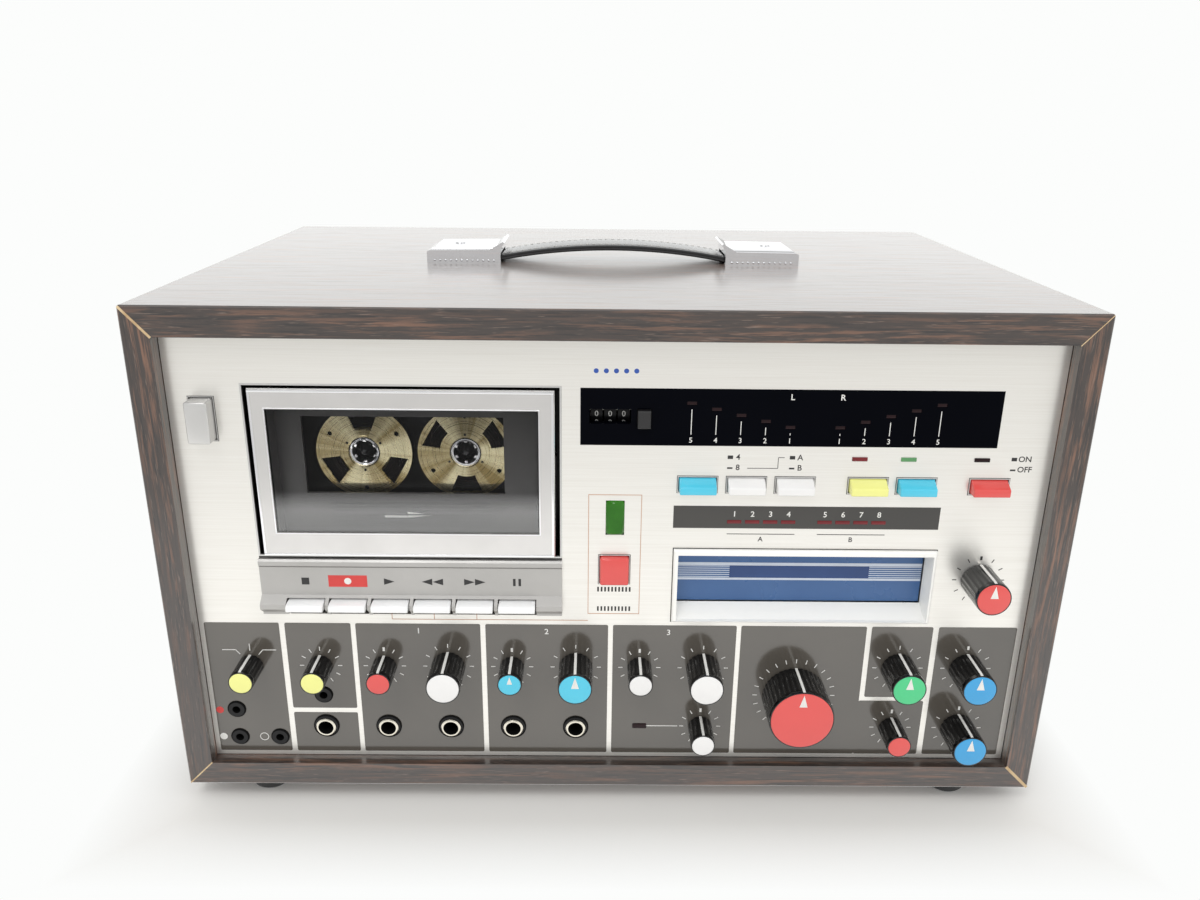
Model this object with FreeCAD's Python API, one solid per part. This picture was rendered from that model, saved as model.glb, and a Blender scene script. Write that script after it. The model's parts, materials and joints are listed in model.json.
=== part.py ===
import FreeCAD, Part
import math
import os
from FreeCAD import Vector

# Working frame, in millimetres: x to the right from the cabinet's middle, y backwards from the
# front panel's face, z up from the cabinet's underside. save() moves each part to the part frame,
# whose origin is on the table under the middle of the overall box.

# clearances and sheet metal
sheet = 1.2
panel_thickness = 2.0
panel_gap = 0.2
running_gap = 0.05
slide_gap = 0.3

# cabinet and feet
board_thickness = 11.2
top_board_thickness = 12.4
cabinet_depth = 250.0
panel_recess = 6.4
rear_recess = 8.0
edge_round = 1.2
cleat_size = 12.0
cleat_length = 36.0
foot_height = 9.0
foot_radius = 9.0
foot_inset_x = 32.0
foot_inset_y = 16.0
foot_screw_hole = 3.2

# columns of the front panel from left to right: with the cassette door, which comes second and is
# as wide as its holder needs, they are together as wide as the cabinet's opening
eject_column = 32.3
middle_column = 49.8
bezel_width = 111.0
speed_column = 42.5

# rows of the front panel from the bottom up: together they are as high as the opening
lower_row_height = 16.6
row_pitch = 30.2
key_row_rise = 25.6
key_slot_height = 9.0
apron_height = 13.9
rail_height = 3.5
door_sill = 1.6
door_height = 72.7
header_height = 21.5

# rear cover
cover_thickness = 3.0
vent_count = 11
vent_slot = 3.0
vent_pitch = 9.0
vent_height = 44.0
vent_drop = 55.8
vent_spread = 85.0
inlet_width, inlet_height, inlet_depth = 22.0, 16.0, 11.0
inlet_inset = 48.8
inlet_rise = 32.8
inlet_wall = 2.0
inlet_pin_radius = 1.2
inlet_pin_pitch = 11.0
line_socket_inset = 94.8
line_socket_pitch = 24.0
line_socket_radius = 4.15
line_socket_flange = 7.0
line_socket_bore = 1.6
line_socket_reach = 6.5

# carrying handle
handle_from_front = 125.0
handle_span = 180.0
cap_length = 35.5
cap_width = 30.0
cap_height = 7.6
cap_lip = 2.6
strap_width = 22.0
strap_thickness = 3.0
strap_rise = 6.0
strap_play = 0.5

# knobs: radius and reach in front of the panel
small_knob = (5.35, 15.0)
medium_knob = (7.4, 18.1)
master_knob = (14.1, 19.6)
knob_nose = 0.98
knob_rim = 0.45
flute_depth = 0.35
flute_width = 1.8
shaft_radius = 3.0
pot_bush_radius = 4.4
pot_can_radius = 8.0
pot_can_depth = 8.0
pot_nut_radius = 6.4
control_plate_y = 8.0
knob_pitch = 27.95
selector_inset = 20.8
channel_inset = 51.2
tone_inset = 22.8
tone_pitch = 30.0
tone_rise = 30.8
master_inset = 97.6
master_rise = 16.5
speed_inset = 23.2
speed_rise = 18.4
post_inset = 8.8
post_radius = 2.6

# jacks
large_jack_bore = 3.2
large_jack_body = 13.0
large_jack_neck = 4.8
large_jack_collar = 5.7
large_jack_depth = 20.0
large_jack_drop = 0.8
small_jack_bore = 1.8
small_jack_body = 9.0
small_jack_neck = 3.3
small_jack_collar = 4.1
small_jack_depth = 14.0
line_jack_inset = 11.8
line_jack_pitch_x = 18.0
line_jack_pitch_z = 14.4
line_jack_drop = 6.8
earphone_rise = 16.2

# cassette deck
door_gap_side = 2.8
door_gap_top = 1.8
door_front = -1.5
frame_side = 6.5
frame_foot = 10.7
frame_head = 8.3
pane_thickness = 1.2
well_wall = 1.3
well_back_y = 26.0
pivot_y = 21.0
pivot_drop = 51.6
pivot_radius = 2.0
arm_thickness = 1.5
arm_width = 5.0
holder_wall = 1.5
holder_inset = 5.5
mask_front = 8.6
mask_height = 33.8
rail_left, rail_right = 7.0, 3.6
holder_margin = 1.8
mask_inset_left, mask_inset_right = 5.2, 12.3
head_gap_left, head_gap_right = 32.5, 38.0
holder_lip_width = 3.0
arm_below_hubs = 2.8
lip_below_hubs = 14.8
hub_rise = 41.2
hub_pitch = 42.5
cassette_width, cassette_height, cassette_thickness = 100.4, 63.8, 8.7
cassette_front = 12.3
cassette_skin = 1.2
cassette_thick_height, cassette_thick_step = 15.0, 1.65
cassette_hub_hole = 5.7
tape_edge_to_hubs = 34.8
reel_gap = 1.15
reel_hub_radius = 10.9
tape_pack_radius = 15.5
spindle_radius = 3.2
bearing_length = 12.0
capstan_offset = 31.0
capstan_drop = 29.1
capstan_radius = 1.25
flywheel_radius = 32.0
motor_radius = 15.0
motor_pulley_radius = 4.0
motor_left_of_hubs = 44.2
motor_drop = 26.8
belt_thickness = 0.6
belt_width = 3.0
head_plate_width = 67.0
head_plate_height = 16.0
head_plate_left = 30.0
head_plate_y = 24.0
head_plate_thickness = 1.6
head_travel = 6.0
head_plate_drop = 21.0
roller_radius = 3.5
guide_pin_radius = 1.5
guide_pin_pitch = 42.0

# piano keys
key_names = ["key_stop", "key_record", "key_play", "key_rewind", "key_fast_forward", "key_pause"]
key_pitch = 17.9
key_width = 15.6
key_side_gap = 0.4
key_top_gap = 0.6
key_thickness = 3.8
key_reach = 8.0
key_shaft_y = 34.0
key_shaft_drop = 6.6
key_shaft_radius = 2.0
key_hub_radius = 4.5
fin_reach = 5.5

# meter window and counter
window_inset_left = 10.3
window_inset_right = 23.8
window_inset_top = 20.3
window_height = 24.0
window_rear = 3.4
window_flange = 2.7
wheel_inset = 6.5
wheel_pitch = 5.5
wheel_rise = 12.2
wheel_radius = 6.4
wheel_width = 4.7
wheel_y = 9.9
wheel_shaft_radius = 1.0
wheel_slot_height = 6.2
counter_back = 18.0
reset_inset = 25.6
reset_rise = 11.5
reset_width, reset_height = 5.2, 7.4
reset_stem_radius = 1.4
level_inset = 44.6
level_pitch = 10.0
level_gap = 60.1
level_count = 5
level_lamp_width, level_lamp_height = 4.0, 1.5
level_top_inset = 6.0
level_fall = 2.45
lamp_board_y = 6.0
board_thickness_pcb = 1.6

# push buttons and lamps
push_names = ["button_record", "button_stereo_8", "button_stereo_4",
              "button_cue", "button_pause", "button_power"]
push_inset = 8.7
push_pitch = 20.0
push_group_gap = 10.0
push_rise = 29.1
push_width, push_height = 16.5, 7.3
push_play = 0.7
push_reach = 5.0
push_face_height = 3.2
push_stem = 4.0
push_stem_end = 18.0
status_rise = 11.6
status_shift = -4.3
status_width, status_height = 6.3, 1.7
track_inset = 24.7
track_pitch = 7.5
track_group_pitch = 37.7
track_rise = 12.6
track_width, track_height = 6.0, 1.0
select_drop = 0.8
select_width, select_height = 12.7, 13.0
select_reach = 3.2
green_rise = 23.8
green_width, green_height = 7.8, 15.5
tuning_lamp_shift = 27.25
tuning_lamp_width, tuning_lamp_height = 6.3, 2.4
eject_inset = 18.65
eject_drop = 13.0
eject_width, eject_height = 9.7, 18.0
eject_reach = 7.0
eject_stem_width, eject_stem_height = 4.0, 8.0
eject_guide_front, eject_guide_length, eject_guide_size = 16.0, 6.0, 14.0
switch_board_y = 26.0
switch_body = 11.0
switch_front = 12.0

# cartridge slot
bezel_drop = 2.1
bezel_height = 34.1
bezel_proud = 2.0
slot_inset_left = 1.9
slot_inset_right = 1.3
slot_lintel = 2.3
sill_lip = 0.7
sill_rise = 3.9
throat_depth = 9.0
throat_wall = 1.0
flap_thickness = 2.0
flap_gap = 0.4
flap_pin_radius = 1.2
flap_pivot_drop = 1.5
tray_depth = 130.0
cartridge_width = 102.8
guide_height = 8.0
cartridge_flywheel_radius = 30.0
cartridge_shaft_radius = 2.0
cartridge_flywheel_inset = 27.0
cartridge_flywheel_from_end = 9.0
cartridge_flywheel_z = 60.0
thrust_height = 38.0
cartridge_motor_radius = 17.0
cartridge_motor_inset = 22.8
cartridge_motor_y = 92.0
cartridge_motor_depth = 12.0

# power supply and main board
main_board_length, main_board_width = 126.0, 82.0
main_board_rise = 8.0
capacitor_radius, capacitor_height = 9.0, 30.4
transformer_width, transformer_depth, transformer_height = 60.0, 40.0, 50.0
winding_overhang = 10.0
sink_width, sink_depth, sink_height, sink_web = 80.0, 24.0, 50.0, 4.0
sink_fins = 8

# ---- places that follow from the sizes above ----
door_width = 2 * holder_inset + rail_left + cassette_width + rail_right
opening_width = eject_column + door_width + middle_column + bezel_width + speed_column
cabinet_width = opening_width + 2 * board_thickness
half_width = cabinet_width / 2
panel_right = opening_width / 2
panel_left = -panel_right
door_left = panel_left + eject_column
door_right = door_left + door_width
bezel_left = door_right + middle_column
bezel_right = bezel_left + bezel_width
middle_x = (door_right + bezel_left) / 2

inner_low = board_thickness
base_top = inner_low + sheet
lower_row_z = inner_low + lower_row_height
upper_row_z = lower_row_z + row_pitch
tone_row_z = lower_row_z + tone_rise
slot_bottom = upper_row_z + key_row_rise
slot_top = slot_bottom + key_slot_height
rail_bottom = slot_top + apron_height
rail_top = rail_bottom + rail_height
door_bottom = rail_top + door_sill
door_top = door_bottom + door_height
inner_high = door_top + header_height
cabinet_height = inner_high + top_board_thickness

front_y = -panel_recess
back_y = cabinet_depth - panel_recess
cover_back = back_y - rear_recess
cover_front = cover_back - cover_thickness
reach_front = master_knob[1]
to_part_frame = Vector(0, -(back_y - reach_front) / 2, foot_height)

selector_x = panel_left + selector_inset
channel_x = [panel_left + channel_inset + i * knob_pitch for i in range(7)]
tone_x = panel_right - tone_inset
echo_x = tone_x - tone_pitch
master_x = panel_right - master_inset
knobs = {
    "knob_selector": (selector_x, upper_row_z, small_knob),
    "knob_phones_volume": (channel_x[0], upper_row_z, small_knob),
    "knob_mic1_pan": (channel_x[1], upper_row_z, small_knob),
    "knob_mic1_volume": (channel_x[2], upper_row_z, medium_knob),
    "knob_mic2_pan": (channel_x[3], upper_row_z, small_knob),
    "knob_mic2_volume": (channel_x[4], upper_row_z, medium_knob),
    "knob_wireless_pan": (channel_x[5], upper_row_z, small_knob),
    "knob_wireless_volume": (channel_x[6], upper_row_z, medium_knob),
    "knob_tuning": (channel_x[6], lower_row_z, small_knob),
    "knob_master": (master_x, lower_row_z + master_rise, master_knob),
    "knob_echo": (echo_x, tone_row_z, medium_knob),
    "knob_balance": (echo_x, lower_row_z, small_knob),
    "knob_treble": (tone_x, tone_row_z, medium_knob),
    "knob_bass": (tone_x, lower_row_z, medium_knob),
    "knob_tape_speed": (panel_right - speed_inset, slot_bottom + speed_rise, medium_knob),
}
large_jack_x = channel_x[:5]
large_jack_z = lower_row_z - large_jack_drop
line_jack_x = panel_left + line_jack_inset
line_jack_z = lower_row_z - line_jack_drop
small_jacks = [
    (channel_x[0], large_jack_z + earphone_rise),
    (line_jack_x, line_jack_z + line_jack_pitch_z),
    (line_jack_x, line_jack_z),
    (line_jack_x + line_jack_pitch_x, line_jack_z),
]

pane_left, pane_right = door_left + frame_side, door_right - frame_side
pane_bottom, pane_top = door_bottom + frame_foot, door_top - frame_head
well_left, well_right = door_left - door_gap_side - 0.2, door_right + door_gap_side + 0.2
well_back = well_back_y + well_wall
holder_left, holder_right = door_left + holder_inset, door_right - holder_inset
pivot_z = door_bottom - pivot_drop
arm_front = pivot_y - arm_width / 2
hub_x = holder_left + rail_left + cassette_width / 2
hub_z = door_bottom + hub_rise
hubs = (hub_x - hub_pitch / 2, hub_x + hub_pitch / 2)
reel_radius = hub_pitch / 2 - reel_gap
cassette_left = hub_x - cassette_width / 2
cassette_right = hub_x + cassette_width / 2
cassette_low = hub_z - tape_edge_to_hubs
cassette_back = cassette_front + cassette_thickness
capstan_x = hub_x + capstan_offset
capstan_z = hub_z - capstan_drop
bearing_end = well_back_y + bearing_length
spindle_end = bearing_end + 3.4
flywheel_front = spindle_end + 0.2
motor_x = hub_x - motor_left_of_hubs
motor_z = hub_z - motor_drop
head_plate_low = cassette_low - head_plate_drop
head_plate_high = head_plate_low + head_plate_height
guide_pins = [(hub_x + 0.8 + side * guide_pin_pitch / 2, head_plate_low + 4.5) for side in (-1, 1)]

key_count = len(key_names)
key_x = [(door_left + door_right) / 2 + (i - (key_count - 1) / 2) * key_pitch for i in range(key_count)]
key_left, key_right = key_x[0] - key_width / 2, key_x[-1] + key_width / 2
key_top = slot_top - key_top_gap
key_bottom = key_top - key_thickness
key_shaft_z = slot_top - key_shaft_drop

window_left, window_right = door_right + window_inset_left, panel_right - window_inset_right
window_top = inner_high - window_inset_top
window_bottom = window_top - window_height
wheel_x = [window_left + wheel_inset + i * wheel_pitch for i in range(3)]
wheel_z = window_bottom + wheel_rise
reset_x, reset_z = window_left + reset_inset, window_bottom + reset_rise
level_left_x = [window_left + level_inset + i * level_pitch for i in range(level_count)]
level_right_x = [x + level_gap for x in level_left_x]
level_lamps = []
for i in range(level_count):
    lamp_z = window_top - level_top_inset - i * level_fall
    level_lamps += [(level_left_x[i], lamp_z), (level_right_x[level_count - 1 - i], lamp_z)]

bezel_low = slot_bottom - bezel_drop
bezel_high = bezel_low + bezel_height
slot_left = bezel_left + slot_inset_left
slot_right = bezel_right - slot_inset_right
slot_roof = bezel_high - slot_lintel
sill_front = bezel_low + sill_lip
sill_back = sill_front + sill_rise
flap_front = throat_depth + 0.6
flap_pivot_y = flap_front + flap_pin_radius
flap_pivot_z = slot_roof - flap_pivot_drop
flap_bottom = sill_back + flap_gap
flap_left, flap_right = slot_left + flap_gap, slot_right - flap_gap
tray_left, tray_right = slot_left - 0.1, slot_right + 0.1
tray_front = throat_depth + 0.4
tray_floor_low = sill_back - sheet
tray_roof_low = slot_roof + sheet
cartridge_flywheel_x = slot_right - cartridge_flywheel_inset
cartridge_flywheel_y = tray_depth - cartridge_flywheel_from_end
cartridge_motor_x = slot_left + cartridge_motor_inset

push_x = [bezel_left + push_inset + i * push_pitch + (i > 2) * push_group_gap + (i > 4) * push_group_gap
          for i in range(len(push_names))]
push_z = bezel_high + push_rise
status_x = [x + status_shift for x in push_x[3:]]
status_z = push_z + status_rise
track_x = [bezel_left + track_inset + group * track_group_pitch + i * track_pitch
           for group in (0, 1) for i in range(4)]
track_z = bezel_high + track_rise
select_z = rail_bottom - select_drop
green_z = select_z + green_rise
tuning_lamp_x = channel_x[6] - tuning_lamp_shift
eject_x, eject_z = door_left - eject_inset, door_top - eject_drop

inlet_x, inlet_z = panel_right - inlet_inset, inner_low + inlet_rise
line_socket_x = [panel_right - line_socket_inset - i * line_socket_pitch for i in (0, 1)]

along_x = Vector(1, 0, 0)
along_y = Vector(0, 1, 0)
along_z = Vector(0, 0, 1)


def save(name, *solids):
    """Write one node, moved to the part frame."""
    shape = Part.makeCompound(list(solids))
    shape.translate(to_part_frame)
    shape.exportStep("parts/" + name + ".step")


def block(x0, x1, y0, y1, z0, z1):
    return Part.makeBox(x1 - x0, y1 - y0, z1 - z0, Vector(x0, y0, z0))


def plate(x, z, width, height, y0, y1):
    """A block centred on x, z, as seen from the front."""
    return block(x - width / 2, x + width / 2, y0, y1, z - height / 2, z + height / 2)


def rod(radius, x, z, y0, y1):
    """A round bar along y."""
    return Part.makeCylinder(radius, y1 - y0, Vector(x, y0, z), along_y)


def pillar(radius, x, y, z0, z1):
    """A round bar along z."""
    return Part.makeCylinder(radius, z1 - z0, Vector(x, y, z0), along_z)


def axle(radius, y, z, x0, x1):
    """A round bar along x."""
    return Part.makeCylinder(radius, x1 - x0, Vector(x0, y, z), along_x)


def side_prism(outline, x0, x1):
    """An outline of (y, z) points drawn along x."""
    points = [Vector(x0, y, z) for y, z in outline]
    return Part.Face(Part.makePolygon(points + points[:1])).extrude(Vector(x1 - x0, 0, 0))


def front_prism(outline, y0, y1):
    """An outline of (x, z) points drawn along y."""
    points = [Vector(x, y0, z) for x, z in outline]
    return Part.Face(Part.makePolygon(points + points[:1])).extrude(Vector(0, y1 - y0, 0))


def turned(outline, x, z):
    """An outline of (radius, y) points turned about an axis along y."""
    points = [Vector(x + radius, y, z) for radius, y in outline]
    face = Part.Face(Part.makePolygon(points + points[:1]))
    return face.revolve(Vector(x, 0, z), along_y, 360)


def spun(outline, x, y):
    """An outline of (radius, z) points turned about an upright axis."""
    points = [Vector(x + radius, y, z) for radius, z in outline]
    face = Part.Face(Part.makePolygon(points + points[:1]))
    return face.revolve(Vector(x, y, 0), along_z, 360)


def around(solid, x, z, count, first=0.0):
    """Copies of a solid, turned about an axis along y."""
    copies = []
    for i in range(count):
        copy = solid.copy()
        copy.rotate(Vector(x, 0, z), along_y, first + 360.0 * i / count)
        copies.append(copy)
    return copies


def bored(solid, *tools):
    return solid.cut(Part.makeCompound(list(tools)))


def front_edges(solid, y):
    return [e for e in solid.Edges if abs(e.BoundBox.YMin - y) < 1e-6 and abs(e.BoundBox.YMax - y) < 1e-6]


def cap_block(x, z, width, height, y0, y1, bevel):
    """A button cap or lamp with bevelled front edges."""
    solid = plate(x, z, width, height, y0, y1)
    return solid.makeChamfer(bevel, front_edges(solid, y0))


def hexagon(radius, x, z, y0, y1):
    corners = [(x + radius * math.cos(math.radians(60 * i)), z + radius * math.sin(math.radians(60 * i)))
               for i in range(6)]
    return front_prism(corners, y0, y1)


def belt_loop(x0, z0, r0, x1, z1, r1, y0, y1):
    """The area inside a belt that runs round two pulleys, drawn along y."""
    run = math.hypot(x1 - x0, z1 - z0)
    heading = math.atan2(z1 - z0, x1 - x0)
    spread = math.acos((r0 - r1) / run)

    def at(x, z, radius, angle):
        return Vector(x + radius * math.cos(angle), y0, z + radius * math.sin(angle))

    a0, a1 = at(x0, z0, r0, heading + spread), at(x0, z0, r0, heading - spread)
    b0, b1 = at(x1, z1, r1, heading + spread), at(x1, z1, r1, heading - spread)
    far_a, far_b = at(x0, z0, r0, heading + math.pi), at(x1, z1, r1, heading)
    wire = Part.Wire([Part.Arc(a1, far_a, a0).toShape(), Part.makeLine(a0, b0),
                      Part.Arc(b0, far_b, b1).toShape(), Part.makeLine(b1, a1)])
    return Part.Face(wire).extrude(Vector(0, y1 - y0, 0))


def cabinet():
    """A sleeve of four mitred boards, with cleats for the rear cover."""
    outer = block(-half_width, half_width, front_y, back_y, 0, cabinet_height)
    long_edges = [e for e in outer.Edges if abs(e.BoundBox.YLength - cabinet_depth) < 1e-6]
    outer = outer.makeFillet(edge_round, long_edges)
    outer = outer.makeChamfer(edge_round / 2, front_edges(outer, front_y))
    sleeve = outer.cut(block(panel_left, panel_right, front_y - 1, back_y + 1, inner_low, inner_high))
    low, high = inner_low, inner_high
    left, right = panel_left, panel_right
    corners = [(-half_width, 0), (half_width, 0), (half_width, cabinet_height), (-half_width, cabinet_height)]
    inner_corners = [(left, low), (right, low), (right, high), (left, high)]
    boards = []
    for i in range(4):
        k = (i + 1) % 4
        wedge = front_prism([corners[i], corners[k], inner_corners[k], inner_corners[i]], front_y, back_y)
        boards.append(sleeve.common(wedge))
    cleats = []
    for x0, x1 in ((left, left + cleat_size), (right - cleat_size, right)):
        for z0 in (low, high - cleat_length):
            cleats.append(block(x0, x1, cover_front - cleat_size, cover_front, z0, z0 + cleat_length))
    save("cabinet", *boards, *cleats)


def rear_cover():
    y0, y1 = cover_front, cover_back
    gap = 2 * panel_gap
    cover = block(panel_left + gap, panel_right - gap, y0, y1, inner_low + gap, inner_high - gap)
    vents = []
    for side in (-1, 1):
        for i in range(vent_count):
            x = side * vent_spread + (i - (vent_count - 1) / 2) * vent_pitch
            vents.append(plate(x, inner_high - vent_drop, vent_slot, vent_height, y0 - 1, y1 + 1))
    cover = bored(cover, *vents, plate(inlet_x, inlet_z, inlet_width, inlet_height, y0 - 1, y1 + 1))
    inlet = plate(inlet_x, inlet_z, inlet_width, inlet_height, y1 - inlet_depth, y1)
    inlet = inlet.fuse(plate(inlet_x, inlet_z, inlet_width + 8, inlet_height + 8, y1, y1 + 1.5))
    floor_y = y1 - inlet_depth + inlet_wall
    inlet = bored(inlet, plate(inlet_x, inlet_z, inlet_width - 2 * inlet_wall, inlet_height - 2 * inlet_wall,
                               floor_y, y1 + 2))
    pins = [rod(inlet_pin_radius, inlet_x + side * inlet_pin_pitch / 2, inlet_z, floor_y, y1 - 1.5)
            for side in (-1, 1)]
    sockets = []
    for x in line_socket_x:
        shoulder, end = y1 + sheet, y1 + line_socket_reach
        sockets.append(turned([(line_socket_bore, y1), (line_socket_flange, y1),
                               (line_socket_flange, shoulder), (line_socket_radius, shoulder),
                               (line_socket_radius, end), (line_socket_bore, end)], x, inlet_z))
    save("rear_cover", cover, inlet, *pins, *sockets)


def feet():
    tread = foot_radius - 1.4
    outline = [(foot_screw_hole, -foot_height), (tread, -foot_height), (tread + 1.0, -foot_height + 1.0),
               (foot_radius, 0), (0, 0), (0, -foot_height / 3), (foot_screw_hole, -foot_height / 3)]
    solids = []
    for side in (-1, 1):
        for y in (front_y + foot_inset_y, back_y - foot_inset_y):
            solids.append(spun(outline, side * (half_width - foot_inset_x), y))
    save("feet", *solids)


def handle():
    """A strap that arches a little between two end caps."""
    middle_y = front_y + handle_from_front
    top = cabinet_height
    inner = handle_span / 2 - cap_length
    root = inner + 4.0
    tail = handle_span / 2 - 8.0
    y0 = middle_y - strap_width / 2
    high = top + strap_thickness
    peak = top + strap_rise

    def at(x, z):
        return Vector(x, y0, z)

    under = Part.Arc(at(-root, top), at(0, peak), at(root, top)).toShape()
    over = Part.Arc(at(root, high), at(0, peak + strap_thickness), at(-root, high)).toShape()
    wire = Part.Wire([
        Part.makeLine(at(-tail, top), at(-root, top)), under, Part.makeLine(at(root, top), at(tail, top)),
        Part.makeLine(at(tail, top), at(tail, high)), Part.makeLine(at(tail, high), at(root, high)), over,
        Part.makeLine(at(-root, high), at(-tail, high)), Part.makeLine(at(-tail, high), at(-tail, top)),
    ])
    save("handle_strap", Part.Face(wire).extrude(Vector(0, strap_width, 0)))

    caps = []
    y0, y1 = middle_y - cap_width / 2, middle_y + cap_width / 2
    crown = top + cap_height
    hollow_half = strap_width / 2 + strap_play
    for side in (-1, 1):
        outer_x, inner_x = side * handle_span / 2, side * inner
        outline = [(outer_x, top), (outer_x, crown - 2.3), (outer_x - side * 4, crown),
                   (inner_x + side * 2.5, crown + 0.4), (inner_x - side * 1.2, crown + cap_lip),
                   (inner_x - side * 2.0, crown + cap_lip - 0.6), (inner_x, crown - 0.8), (inner_x, top)]
        shell = front_prism(outline, y0, y1)
        rails = [e for e in shell.Edges if e.BoundBox.XLength > cap_length / 2
                 and e.BoundBox.ZMin > crown - 0.5 and e.BoundBox.YLength < 1e-6]
        shell = shell.makeFillet(1.6, rails)
        x0, x1 = sorted((inner_x - side * 3, side * (tail + strap_play)))
        hollow = block(x0, x1, middle_y - hollow_half, middle_y + hollow_half, top - 1, high + 1.6)
        caps.append(shell.cut(hollow))
    save("handle_end_caps", *caps)


def panel_openings():
    """Everything that is cut through the front panel."""
    y0, y1 = -1, panel_thickness + 1
    cuts = [
        block(door_left - door_gap_side, door_right + door_gap_side, y0, y1,
              rail_top, door_top + door_gap_top),
        block(key_left - key_side_gap, key_right + key_side_gap, y0, y1, slot_bottom, slot_top),
        block(window_left, window_right, y0, y1, window_bottom, window_top),
        block(slot_left - throat_wall - panel_gap, slot_right + throat_wall + panel_gap, y0, y1,
              sill_front - throat_wall - panel_gap, slot_roof + throat_wall + panel_gap),
        plate(eject_x, eject_z, eject_width, eject_height, y0, y1),
        plate(middle_x, select_z, select_width, select_height, y0, y1),
        plate(middle_x, green_z, green_width, green_height, y0, y1),
        plate(tuning_lamp_x, lower_row_z, tuning_lamp_width, tuning_lamp_height, y0, y1),
    ]
    cuts += [plate(x, push_z, push_width, push_height, y0, y1) for x in push_x]
    cuts += [plate(x, status_z, status_width, status_height, y0, y1) for x in status_x]
    cuts += [plate(x, track_z, track_width, track_height, y0, y1) for x in track_x]
    cuts += [rod(shaft_radius + 0.4, x, z, y0, y1) for x, z, _ in knobs.values()]
    cuts += [rod(large_jack_neck + panel_gap, x, large_jack_z, y0, y1) for x in large_jack_x]
    cuts += [rod(small_jack_neck + panel_gap, x, z, y0, y1) for x, z in small_jacks]
    return cuts


def front_panel():
    panel = block(panel_left + panel_gap, panel_right - panel_gap, 0, panel_thickness,
                  inner_low + panel_gap, inner_high - panel_gap)
    save("front_panel", *bored(panel, *panel_openings()).Solids)


def meter_window():
    """The glossy window, with openings for the number wheels, the reset button and the level lamps."""
    front = -0.3
    window = block(window_left, window_right, front, panel_thickness, window_bottom, window_top)
    window = window.makeChamfer(0.25, front_edges(window, front))
    window = window.fuse(block(window_left - window_flange, window_right + window_flange,
                               panel_thickness, window_rear,
                               window_bottom - window_flange, window_top + window_flange))
    edge = wheel_width / 2 + 0.5
    y1 = window_rear + 1
    half_slot = wheel_slot_height / 2
    cuts = [block(wheel_x[0] - edge, wheel_x[-1] + edge, -1, y1, wheel_z - half_slot, wheel_z + half_slot),
            plate(reset_x, reset_z, reset_width + 2 * slide_gap, reset_height + 2 * slide_gap, -1, y1)]
    cuts += [plate(x, z, level_lamp_width, level_lamp_height, -1, y1) for x, z in level_lamps]
    save("meter_window", bored(window, *cuts).removeSplitter())


def indicator_lamps():
    lamps = [plate(x, z, level_lamp_width, level_lamp_height, 0.1, lamp_board_y) for x, z in level_lamps]
    lamps += [cap_block(x, status_z, status_width, status_height, -0.5, lamp_board_y, 0.3) for x in status_x]
    lamps += [plate(x, track_z, track_width, track_height, -0.1, panel_thickness + 2) for x in track_x]
    lamps.append(cap_block(tuning_lamp_x, lower_row_z, tuning_lamp_width, tuning_lamp_height,
                           -0.6, control_plate_y, 0.4))
    lamps.append(cap_block(middle_x, green_z, green_width, green_height, -1.2, lamp_board_y, 0.8))
    lamps.append(plate(middle_x, green_z, green_width - 2, green_height / 2, lamp_board_y, switch_board_y))
    save("indicator_lamps", *lamps)


def knob(name, x, z, size):
    """A fluted body with a coloured disc let into its end, pressed on a shaft."""
    radius, reach = size
    tip, base = -reach, -0.6
    nose = radius * knob_nose
    seat = nose - knob_rim
    body = turned([(0, tip + 0.8), (seat, tip + 0.8), (seat, tip + 0.2), (nose - 0.2, tip + 0.2),
                   (nose, tip + 0.5), (radius, tip + 1.6), (radius, base), (0, base)], x, z)
    flutes = max(12, round(math.pi * radius / flute_width))
    half = flute_width / 2
    over = z + radius + 0.3
    groove = front_prism([(x - half, over), (x, z + radius - flute_depth), (x + half, over)],
                         tip + 2.4, base + 1)
    body = bored(body, *around(groove, x, z, flutes, 180.0 / flutes))
    shaft_front = tip + 4.0
    body = body.cut(rod(shaft_radius, x, z, shaft_front, 1))
    disc = turned([(0, tip), (seat - 0.5, tip), (seat, tip + 0.25), (seat, tip + 0.8), (0, tip + 0.8)], x, z)
    save(name, body, disc, rod(shaft_radius, x, z, shaft_front, control_plate_y + 4.0))


def control_pots():
    """The control behind each knob, with its bush through the control plate and its nut in front."""
    solids = []
    nut_back = control_plate_y
    nut_front = nut_back - 2.0
    bush_front = nut_front - 0.6
    can_front = control_plate_y + sheet
    bore_end = control_plate_y + 4.0
    for x, z, _ in knobs.values():
        can = rod(pot_can_radius, x, z, can_front, can_front + pot_can_depth)
        can = can.fuse(rod(pot_bush_radius, x, z, bush_front, can_front))
        can = can.fuse(plate(x, z + pot_can_radius + 1.5, 11.0, 6.0, can_front + 1, can_front + 2.2))
        can = can.cut(rod(shaft_radius + running_gap, x, z, bush_front - 1, bore_end))
        nut = hexagon(pot_nut_radius, x, z, nut_front, nut_back)
        solids += [can, nut.cut(rod(pot_bush_radius, x, z, bush_front, nut_back + 1))]
    save("control_pots", *solids)


def jack_collar(x, z, radius, bevel, thickness):
    """The round flange in front of the panel, with a bevelled edge."""
    return turned([(0, 0), (0, -thickness), (radius - bevel, -thickness), (radius, -thickness / 2),
                   (radius, 0)], x, z)


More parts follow.
